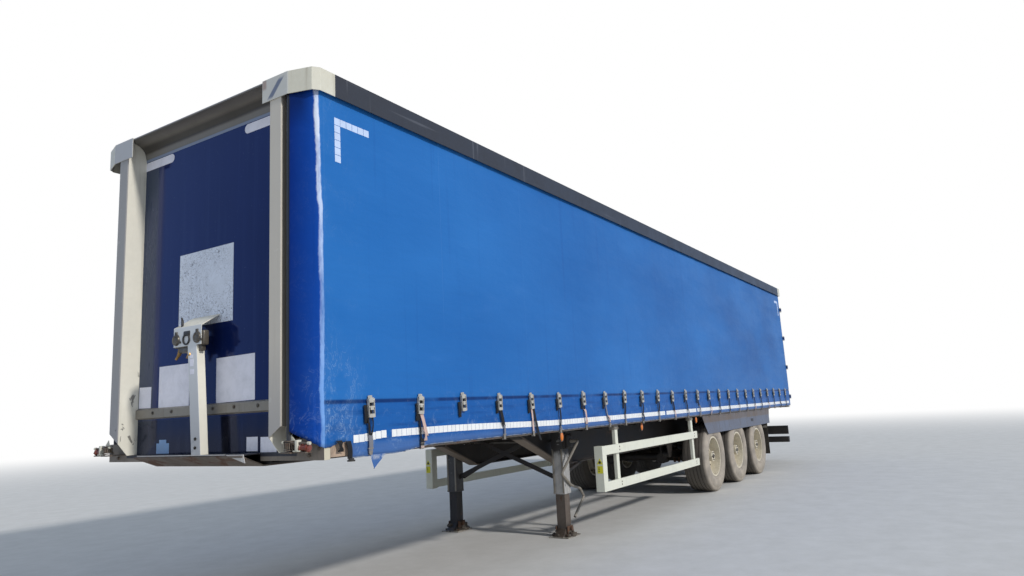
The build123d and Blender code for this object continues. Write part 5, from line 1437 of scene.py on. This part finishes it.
def build_mud():
    """Caked mud on the landing legs' feet."""
    draw = random.Random(13)
    bm = bmesh.new()
    for turn in (1, -1):
        for i in range(34):
            angle = draw.uniform(0, math.tau)
            reach = draw.uniform(0.07, 0.135)
            z = 0.02 if reach > 0.1 else draw.uniform(0.025, 0.075)
            centre = (LEG_X + reach * math.cos(angle), turn * LEG_Y + 0.92 * reach * math.sin(angle), z)
            add_clod(bm, centre, draw.uniform(0.012, 0.034), i + 40 * turn)
    finish_piece("foot_mud", bm, "caked_mud", angle=180)


def build_leg_fittings():
    """Bolts, collars and strips of the sleeves, and pins, brackets and bolts of the feet."""
    bolts = bmesh.new()
    feet = bmesh.new()
    strips = bmesh.new()
    x = LEG_X
    socket = ((0.05, 0.0), (0.075, 0.004), (0.078, 0.014), (0.064, 0.026), (0.05, 0.03))
    for turn in (1, -1):
        y = turn * LEG_Y
        for z in (0.55, 0.83):
            for dx in (-0.045, 0.045):
                start = Vector((x + dx, y + turn * 0.069, z))
                add_rod(bolts, start, start + Vector((0, turn * 0.01, 0)), 0.012, steps=6)
        add_box(bolts, (x - 0.072, y - 0.072, 0.452), (x + 0.072, y + 0.072, 0.47), round_by=0.003)
        add_box(strips, (x + 0.062, y - 0.066, 0.46), (x + 0.0745, y - 0.044, 0.93), round_by=0.002)
        add_box(strips, (x + 0.062, y + 0.044, 0.46), (x + 0.0725, y + 0.066, 0.93), round_by=0.002)
        add_rod(feet, (x, y - 0.1, 0.085), (x, y + 0.1, 0.085), 0.022)
        for dx in (-0.095, 0.095):
            for dy in (-0.085, 0.085):
                add_rod(feet, (x + dx, y + dy, 0.01), (x + dx, y + dy, 0.032), 0.013, steps=6)
        for dy in (-0.075, 0.067):
            add_box(feet, (x - 0.065, y + dy, 0.012), (x + 0.065, y + dy + 0.008, 0.115), round_by=0.002)
        add_lathe(feet, socket, (x, y, 0.012), (0, 0, 1), steps=24, closed=True)
    finish_piece("leg_bolts", bolts, "leg_paint")
    finish_piece("leg_feet", feet, "brake_metal")
    finish_piece("leg_strips", strips, "galvanised")


def build_crank():
    """Hand crank of the landing legs, bent and stowed, with its gearbox."""
    box = bmesh.new()
    x, y, z = LEG_X, 0.805, 1.015
    add_box(box, (x - 0.07, y, 0.93), (x + 0.07, y + 0.035, 1.1), round_by=0.006)
    add_box(box, (x - 0.055, y + 0.03, 0.945), (x + 0.055, y + 0.068, 1.085), round_by=0.014, steps=3)
    for dx in (-0.06, 0.06):
        for bolt_z in (0.942, z, 1.088):
            add_rod(box, (x + dx, y + 0.03, bolt_z), (x + dx, y + 0.044, bolt_z), 0.0085, steps=6)
    finish_piece("crank_gearbox", box, "chassis_paint", replaces=("leg_crank",))
    bm = bmesh.new()
    add_rod(bm, (x, y + 0.06, z), (x, y + 0.13, z), 0.019, steps=18)
    bar_y, bend_reach, bar_radius, grip_length = 0.825, 0.045, 0.0145, 0.13
    start = Vector((x, y + 0.09, z))
    bends = [Vector(bend) for bend in (
        (x, y + 0.165, z), (x + 0.155, bar_y, 0.675), (x - 0.05, bar_y, 0.535), (x - 0.25, bar_y, 0.48),
        (x - 0.33, bar_y, 0.385), (x - 0.088, bar_y, 0.195))]
    points = [start]
    for before, bend, after in zip([start] + bends, bends, bends[1:]):
        points += [bend + (before - bend).normalized() * bend_reach, bend,
                   bend + (after - bend).normalized() * bend_reach]
    end = bends[-1]
    add_tube(bm, points + [end], bar_radius)
    add_rod(bm, end, end + (bends[-2] - end).normalized() * grip_length, 0.015)
    finish_piece("hand_crank", bm, "galvanised")


# Chassis
def build_underside():
    """Gussets and air lines along the frame."""
    plates = bmesh.new()
    for turn in (1, -1):
        for i in range(25):
            x = 6.442 - i * 0.52
            if abs(x) > 6.2 or -4.6 < x < -0.5 or abs(x - LEG_X) < 0.2:
                continue
            add_box(plates, (0.0, turn * 0.67, 1.10), (0.006, turn * 0.78, 1.165), turned(x - 0.032, 0, 0))
    finish_piece("rail_gussets", plates, "chassis_paint")
    lines = bmesh.new()
    line_y, line_radius = 0.538, 0.009
    for y, z in ((line_y, 1.02), (line_y, 0.985), (-line_y, 1.02)):
        add_rod(lines, (2.2, y, z), (-6.3, y, z), line_radius, steps=10)
    for x in AXLES:
        for turn in (1, -1):
            drop = ((0.22, line_y, 1.0), (0.26, 0.52, 0.9), (0.3, 0.48, 0.72), (0.27, 0.44, 0.6))
            add_tube(lines, [(x + dx, turn * y, z) for dx, y, z in drop], line_radius)
    finish_piece("air_lines", lines, "air_rubber")


def build_bellows():
    """Rolled rubber bellows of the air springs, and the clamps of the axles beside them."""
    bm = bmesh.new()
    clamps = bmesh.new()
    profile = ((0.0, 0.0), (0.105, 0.0), (0.108, 0.006), (0.118, 0.012), (0.134, 0.025), (0.1375, 0.04),
               (0.134, 0.056), (0.120, 0.066), (0.112, 0.070), (0.120, 0.074), (0.134, 0.084), (0.1375, 0.1),
               (0.134, 0.115), (0.118, 0.128), (0.108, 0.134), (0.105, 0.1395), (0.0, 0.1395))
    for x in AXLES:
        for turn in (1, -1):
            y = turn * SPRING_Y
            add_lathe(bm, profile, (x - 0.39, y, 0.6003), (0, 0, 1), steps=40)
            for dx in (-0.075, 0.075):
                for dy in (-0.035, 0.035):
                    foot = (x + dx, y + dy, 0.44)
                    add_rod(clamps, foot, (x + dx, y + dy, 0.63), 0.011, steps=10)
                    add_rod(clamps, foot, (x + dx, y + dy, 0.462), 0.019, steps=6)
            for z in (0.457, 0.607):
                add_box(clamps, (x - 0.1, y - 0.052, z), (x + 0.1, y + 0.052, z + 0.015), round_by=0.003)
    finish_piece("air_bellows", bm, "air_rubber", replaces=("air_springs",))
    finish_piece("axle_clamps", clamps, "brake_metal")


# Sides
def build_guard_fittings():
    """Bolts, brackets and blank labels of the side guards."""
    bolts = bmesh.new()
    labels = bmesh.new()
    marks = bmesh.new()
    behind, label_face, mark_face = GUARD_FRONT_X - 0.0005, GUARD_FRONT_X + 0.0012, GUARD_FRONT_X + 0.0018
    for turn in (1, -1):
        for x in GUARD_UPRIGHTS:
            for z in (0.5, 0.53, 0.88, 0.915):
                add_rod(bolts, (x, turn * 1.2295, z), (x, turn * 1.2345, z), 0.011, 0.008, steps=10)
            add_box(bolts, (x - 0.055, turn * 1.14, 1.1), (x + 0.055, turn * 1.205, 1.149), round_by=0.004)
            for dx in (-0.035, 0.035):
                add_rod(bolts, (x + dx, turn * 1.203, 1.12), (x + dx, turn * 1.213, 1.12), 0.01, steps=6)
        low, high = sorted((turn * 1.158, turn * 1.222))
        middle = (low + high) / 2
        add_box(labels, (behind, low, 0.66), (label_face, high, 0.738))
        add_rod(labels, (behind, middle, 0.777), (label_face, middle, 0.777), 0.042, steps=3)
        add_rod(marks, (GUARD_FRONT_X, middle, 0.776), (mark_face, middle, 0.776), 0.015, steps=12)
        for z in (0.681, 0.698, 0.715):
            add_box(marks, (GUARD_FRONT_X, low + 0.01, z), (mark_face, low + 0.03, z + 0.006))
    finish_piece("guard_label_marks", marks, "lamp_housing")
    finish_piece("guard_bolts", bolts, "galvanised")
    finish_piece("guard_labels", labels, "yellow_film")


def build_markers():
    """Amber side markers: a domed lens in a black frame."""
    frames = bmesh.new()
    lenses = bmesh.new()
    for turn in (1, -1):
        for x in MARKERS:
            place = on_side(x, 1.2035, 1.1, turn)
            add_box(frames, (-0.03, 0.0, -0.05), (0.03, 0.01, 0.05), place, 0.004)
            for z in (-0.043, 0.043):
                add_rod(frames, (0.023, 0.009, z), (0.023, 0.0125, z), 0.0035, steps=8, place=place)
            dome = place @ Matrix.Translation((0, 0.009, 0)) @ Matrix.Diagonal((0.026, 0.0155, 0.044, 1.0))
            bmesh.ops.create_uvsphere(lenses, u_segments=32, v_segments=20, radius=1.0, matrix=dome)
    finish_piece("marker_frames", frames, "lamp_housing", replaces=("side_markers",))
    finish_piece("marker_lenses", lenses, "lamp_amber")


def build_valance_fittings():
    """Bolts and stays of the wheel valances, and one blank label."""
    bm = bmesh.new()
    for turn in (1, -1):
        for i in range(8):
            x = -1.03 - i * 0.52
            add_rod(bm, (x, turn * 1.2125, 1.125), (x, turn * 1.2185, 1.125), 0.011, 0.008, steps=10)
            add_rod(bm, (x - 0.1, turn * 1.218, 0.93), (x - 0.1, turn * 1.2235, 0.93), 0.009, 0.007, steps=10)
        add_box(bm, (-4.652, turn * 0.86, 0.79), (-4.628, turn * 1.2, 0.83), round_by=0.002)
    finish_piece("valance_bolts", bm, "galvanised")
    label = bmesh.new()
    add_box(label, (-3.64, 1.219, 0.955), (-3.5, 1.2205, 1.005))
    finish_piece("valance_label", label, "lamp_housing")


# Rear
def build_door_fittings():
    """Seals, bolts and reflective tape that ride with each door."""
    face = DOOR_FACE_X
    for side, turn in SIDES:
        body = f"{side}_door"
        seals = bmesh.new()
        low, high, inner, outer, wide = 1.168, 3.448, 0.006, 1.229, 0.016
        strips = ((inner, low, outer, low + wide), (inner, high - wide, outer, high),
                  (inner, low, inner + wide, high), (outer - wide, low, outer, high))
        for y0, z0, y1, z1 in strips:
            add_box(seals, (face - 0.0035, turn * y0, z0), (face, turn * y1, z1), round_by=0.001, steps=1)
        finish_piece(f"door_seal_{side}", seals, "rubber_seal", body=body)
        bolts = bmesh.new()
        for i in range(4):
            z = 1.355 + i * 0.6383
            for y in (1.11, 1.15, 1.19, 1.22):
                start, end = (face - 0.008, turn * y, z), (face - 0.013, turn * y, z)
                add_rod(bolts, start, end, 0.009, 0.007, steps=8)
        for y in (0.982, 0.382):
            for z in (1.5, 1.66):
                add_rod(bolts, (face, turn * y, z), (face - 0.005, turn * y, z), 0.008, steps=8)
        finish_piece(f"door_bolts_{side}", bolts, "greasy_steel", body=body)
        tape = bmesh.new()
        front, back = face - 0.0022, face - 0.001
        for i in range(22):
            z = 1.25 + i * 0.1
            add_box(tape, (front, turn * 1.15, z), (back, turn * 1.2, z + 0.095))
        for i in range(11):
            y = 0.05 + i * 0.1
            add_box(tape, (front, turn * y, 3.36), (back, turn * (y + 0.095), 3.41))
        finish_piece(f"door_tape_{side}", tape, "reflective_tape", body=body)


def build_rear_lamps():
    """Lamp clusters in black housings, a blank plate and marker boards."""
    housing = bmesh.new()
    lenses = {"lamp_red": bmesh.new(), "lamp_amber": bmesh.new(), "lamp_clear": bmesh.new()}
    for turn in (1, -1):
        y0, y1 = sorted((turn * 0.69, turn * 1.11))
        add_box(housing, (-6.788, y0, 0.58), (-6.7705, y1, 0.71), round_by=0.008)
        for i, colour in enumerate(("lamp_amber", "lamp_red", "lamp_clear", "lamp_red")):
            outer = turn * (1.098 - i * 0.1)
            inner = outer - turn * 0.092
            low, high = sorted((outer, inner))
            add_box(lenses[colour], (-6.796, low, 0.592), (-6.78, high, 0.698), round_by=0.006, steps=3)
    finish_piece("lamp_housings", housing, "lamp_housing", replaces=("rear_lamps",))
    for colour, bm in lenses.items():
        finish_piece(f"{colour}_lenses", bm, colour)
    plate = bmesh.new()
    add_box(plate, (-6.773, -0.26, 0.59), (-6.7705, 0.26, 0.7), round_by=0.001, steps=1)
    finish_piece("blank_plate", plate, "yellow_film")
    boards = bmesh.new()
    for turn in (1, -1):
        low, high = sorted((turn * 0.72, turn * 1.12))
        add_box(boards, (-6.8, low, 0.405), (-6.7985, high, 0.485))
    finish_piece("marker_boards", boards, "reflective_tape")


def build_roof_rivets():
    """Rivets of the roof sheet and the cant rails."""
    bm = bmesh.new()
    for i in range(1, 16):
        x = -6.6 + i * 13.202 / 16
        for y in (-1.05, -0.7, -0.35, 0.0, 0.35, 0.7, 1.05):
            z = 3.69 + 0.022 * (1 - (y / 1.14) ** 2)
            add_rod(bm, (x, y, z - 0.002), (x, y, z + 0.003), 0.008, 0.006, steps=8)
    for turn in (1, -1):
        for i in range(44):
            x = 6.4 - i * 0.3
            add_rod(bm, (x, turn * 1.272, 3.708), (x, turn * 1.2749, 3.708), 0.0055, steps=8)
    finish_piece("roof_rivets", bm, "aluminium")


# Stage: the lens is given in pixels of a picture that is PICTURE_WIDTH wide, the turns in degrees
SENSOR_WIDTH = 36.0
FOCAL_PIXELS = 715.9
PICTURE_WIDTH = 1024
CAMERA_PLACE = (9.863, 4.715, 1.391)
CAMERA_YAW, CAMERA_PITCH, CAMERA_ROLL = -147.705, 9.598, -2.989
SUN_WAY = (0.12, 1.0, 0.6)
FLOOR_RADIUS = 160.0


def build_floor():
    """Pale floor that turns white for the camera with distance."""
    bm = bmesh.new()
    bmesh.ops.create_circle(bm, cap_ends=True, segments=96, radius=FLOOR_RADIUS)
    mesh = bpy.data.meshes.new("floor")
    bm.to_mesh(mesh)
    bm.free()
    floor = bpy.data.objects.new("floor", mesh)
    bpy.context.scene.collection.objects.link(floor)
    material, tree, shader = new_material("pale_floor")
    shader.inputs["Roughness"].default_value = 0.85
    grain = cloud(tree, places(tree), 3.0, 8.0, 0.7)
    colour = blend_colour(tree, remap(tree, grain, 0.35, 0.65), linear(206, 204, 200), linear(216, 214, 211))
    tree.links.new(colour, shader.inputs["Base Color"])
    at = axes(tree)
    away = calc(tree, "SQRT", plus(tree, times(tree, at["X"], at["X"]), times(tree, at["Y"], at["Y"])))
    glow = add_node(tree, "ShaderNodeEmission", {"Color": (1, 1, 1, 1), "Strength": 1.0})
    path = add_node(tree, "ShaderNodeLightPath").outputs
    share = times(tree, remap(tree, away, 13.0, 45.0, 0.0, 1.0, smooth=True), path["Is Camera Ray"])
    mix = add_node(tree, "ShaderNodeMixShader", {0: share, 1: shader.outputs[0], 2: glow.outputs[0]})
    tree.links.new(mix.outputs[0], tree.nodes["Material Output"].inputs["Surface"])
    mesh.materials.append(material)


def build_world():
    """White behind everything for the camera, a blue sky in what is glossy, and a pale fill for the rest."""
    world = bpy.data.worlds.new("studio")
    bpy.context.scene.world = world
    world.use_nodes = True
    tree = world.node_tree
    tree.nodes.clear()
    path = add_node(tree, "ShaderNodeLightPath").outputs
    seen = calc(tree, "MAXIMUM", path["Is Camera Ray"], path["Is Transmission Ray"])
    fill = add_node(tree, "ShaderNodeBackground", {"Color": (0.78, 0.88, 1.0, 1), "Strength": 0.52})
    sky = add_node(tree, "ShaderNodeBackground", {"Color": (0.42, 0.6, 0.95, 1), "Strength": 0.8})
    white = add_node(tree, "ShaderNodeBackground", {"Color": (1, 1, 1, 1), "Strength": 1.0})
    shares = {0: path["Is Glossy Ray"], 1: fill.outputs[0], 2: sky.outputs[0]}
    unseen = add_node(tree, "ShaderNodeMixShader", shares)
    mix = add_node(tree, "ShaderNodeMixShader", {0: seen, 1: unseen.outputs[0], 2: white.outputs[0]})
    output = add_node(tree, "ShaderNodeOutputWorld")
    tree.links.new(mix.outputs[0], output.inputs["Surface"])


def build_light_and_camera():
    """Low sun from the left, and the camera where the photograph was taken."""
    lamp = bpy.data.lights.new("key", "SUN")
    lamp.energy = 2.15
    lamp.angle = math.radians(4)
    lamp.color = (1.0, 0.97, 0.92)
    key = bpy.data.objects.new("key", lamp)
    key.rotation_euler = Vector(SUN_WAY).to_track_quat("Z", "Y").to_euler()
    bpy.context.scene.collection.objects.link(key)

    lens = bpy.data.cameras.new("camera")
    lens.sensor_width = SENSOR_WIDTH
    lens.lens = SENSOR_WIDTH * FOCAL_PIXELS / PICTURE_WIDTH
    lens.clip_end = 500.0
    camera = bpy.data.objects.new("camera", lens)
    yaw, pitch, roll = (math.radians(angle) for angle in (CAMERA_YAW, CAMERA_PITCH, CAMERA_ROLL))
    ahead = Vector((math.cos(pitch) * math.cos(yaw), math.cos(pitch) * math.sin(yaw), math.sin(pitch)))
    right = ahead.cross(Vector((0, 0, 1))).normalized()
    up = right.cross(ahead)
    right, up = right * math.cos(roll) + up * math.sin(roll), up * math.cos(roll) - right * math.sin(roll)
    aim = Matrix((right, up, -ahead)).transposed().to_4x4()
    camera.matrix_world = Matrix.Translation(CAMERA_PLACE) @ aim
    bpy.context.scene.collection.objects.link(camera)
    bpy.context.scene.camera = camera
    bpy.context.scene.view_settings.view_transform = "Standard"


class TRAILER_OT_stage(bpy.types.Operator):
    """Floor, background, light and camera"""
    bl_idname = "trailer.stage"
    bl_label = "Stage"

    def execute(self, context):
        build_floor()
        build_world()
        build_light_and_camera()
        return {"FINISHED"}


class TRAILER_OT_finishes(bpy.types.Operator):
    """Materials of all the pieces, and rounded edges of the plain metal ones"""
    bl_idname = "trailer.finishes"
    bl_label = "Finishes"

    def execute(self, context):
        build_materials(context.scene.trailer_look)
        paint_nodes()
        soften_nodes()
        return {"FINISHED"}


class TRAILER_OT_curtains(bpy.types.Operator):
    """Curtain sheets with their tape"""
    bl_idname = "trailer.curtains"
    bl_label = "Curtains"

    def execute(self, context):
        build_curtains(context.scene.trailer_look)
        build_tape(context.scene.trailer_look)
        build_torn_flap()
        return {"FINISHED"}


class TRAILER_OT_buckles(bpy.types.Operator):
    """Buckles, straps and hooks along the curtains"""
    bl_idname = "trailer.buckles"
    bl_label = "Buckles"

    def execute(self, context):
        build_buckles(context.scene.trailer_look)
        return {"FINISHED"}


class TRAILER_OT_wheels(bpy.types.Operator):
    """Tyres, nuts and hub fittings"""
    bl_idname = "trailer.wheels"
    bl_label = "Wheels"

    def execute(self, context):
        build_tyres()
        build_wheel_fittings()
        return {"FINISHED"}


class TRAILER_OT_front(bpy.types.Operator):
    """Films, bolts, coupling head and tensioners of the front wall"""
    bl_idname = "trailer.front"
    bl_label = "Front wall"

    def execute(self, context):
        build_films()
        build_front_bolts()
        build_stand_head()
        build_tensioners()
        return {"FINISHED"}


class TRAILER_OT_legs(bpy.types.Operator):
    """Bolts, strips, feet, mud and crank of the landing legs"""
    bl_idname = "trailer.legs"
    bl_label = "Landing legs"

    def execute(self, context):
        build_leg_fittings()
        build_mud()
        build_crank()
        return {"FINISHED"}


class TRAILER_OT_chassis(bpy.types.Operator):
    """Gussets, air lines, bellows and axle clamps under the deck"""
    bl_idname = "trailer.chassis"
    bl_label = "Chassis"

    def execute(self, context):
        build_underside()
        build_bellows()
        return {"FINISHED"}


class TRAILER_OT_sides(bpy.types.Operator):
    """Bolts and blank labels of guards and valances, and the side markers"""
    bl_idname = "trailer.sides"
    bl_label = "Sides"

    def execute(self, context):
        build_guard_fittings()
        build_markers()
        build_valance_fittings()
        return {"FINISHED"}


class TRAILER_OT_rear(bpy.types.Operator):
    """Door fittings, lamps and boards at the rear, and the roof's rivets"""
    bl_idname = "trailer.rear"
    bl_label = "Rear and roof"

    def execute(self, context):
        build_door_fittings()
        build_rear_lamps()
        build_roof_rivets()
        return {"FINISHED"}


OPERATORS = (TRAILER_OT_stage, TRAILER_OT_finishes, TRAILER_OT_curtains, TRAILER_OT_buckles,
             TRAILER_OT_wheels, TRAILER_OT_front, TRAILER_OT_legs, TRAILER_OT_chassis, TRAILER_OT_sides,
             TRAILER_OT_rear)


class TRAILER_PT_panel(bpy.types.Panel):
    """Lists the sizes, the colours and the pieces"""
    bl_idname = "TRAILER_PT_panel"
    bl_label = "Semi trailer"
    bl_space_type = "VIEW_3D"
    bl_region_type = "UI"
    bl_category = "Trailer"

    def draw(self, context):
        look = context.scene.trailer_look
        for name in TrailerLook.__annotations__:
            self.layout.prop(look, name)
        for operator in OPERATORS:
            self.layout.operator(operator.bl_idname)


CLASSES = (TrailerLook, *OPERATORS, TRAILER_PT_panel)


def register():
    for item in CLASSES:
        bpy.utils.register_class(item)
    bpy.types.Scene.trailer_look = PointerProperty(type=TrailerLook)


def unregister():
    del bpy.types.Scene.trailer_look
    for item in reversed(CLASSES):
        bpy.utils.unregister_class(item)


def main():
    register()
    bpy.ops.trailer.stage()
    bpy.ops.trailer.finishes()
    bpy.ops.trailer.curtains()
    bpy.ops.trailer.buckles()
    bpy.ops.trailer.wheels()
    bpy.ops.trailer.front()
    bpy.ops.trailer.legs()
    bpy.ops.trailer.chassis()
    bpy.ops.trailer.sides()
    bpy.ops.trailer.rear()


if __name__ == "__main__":
    main()
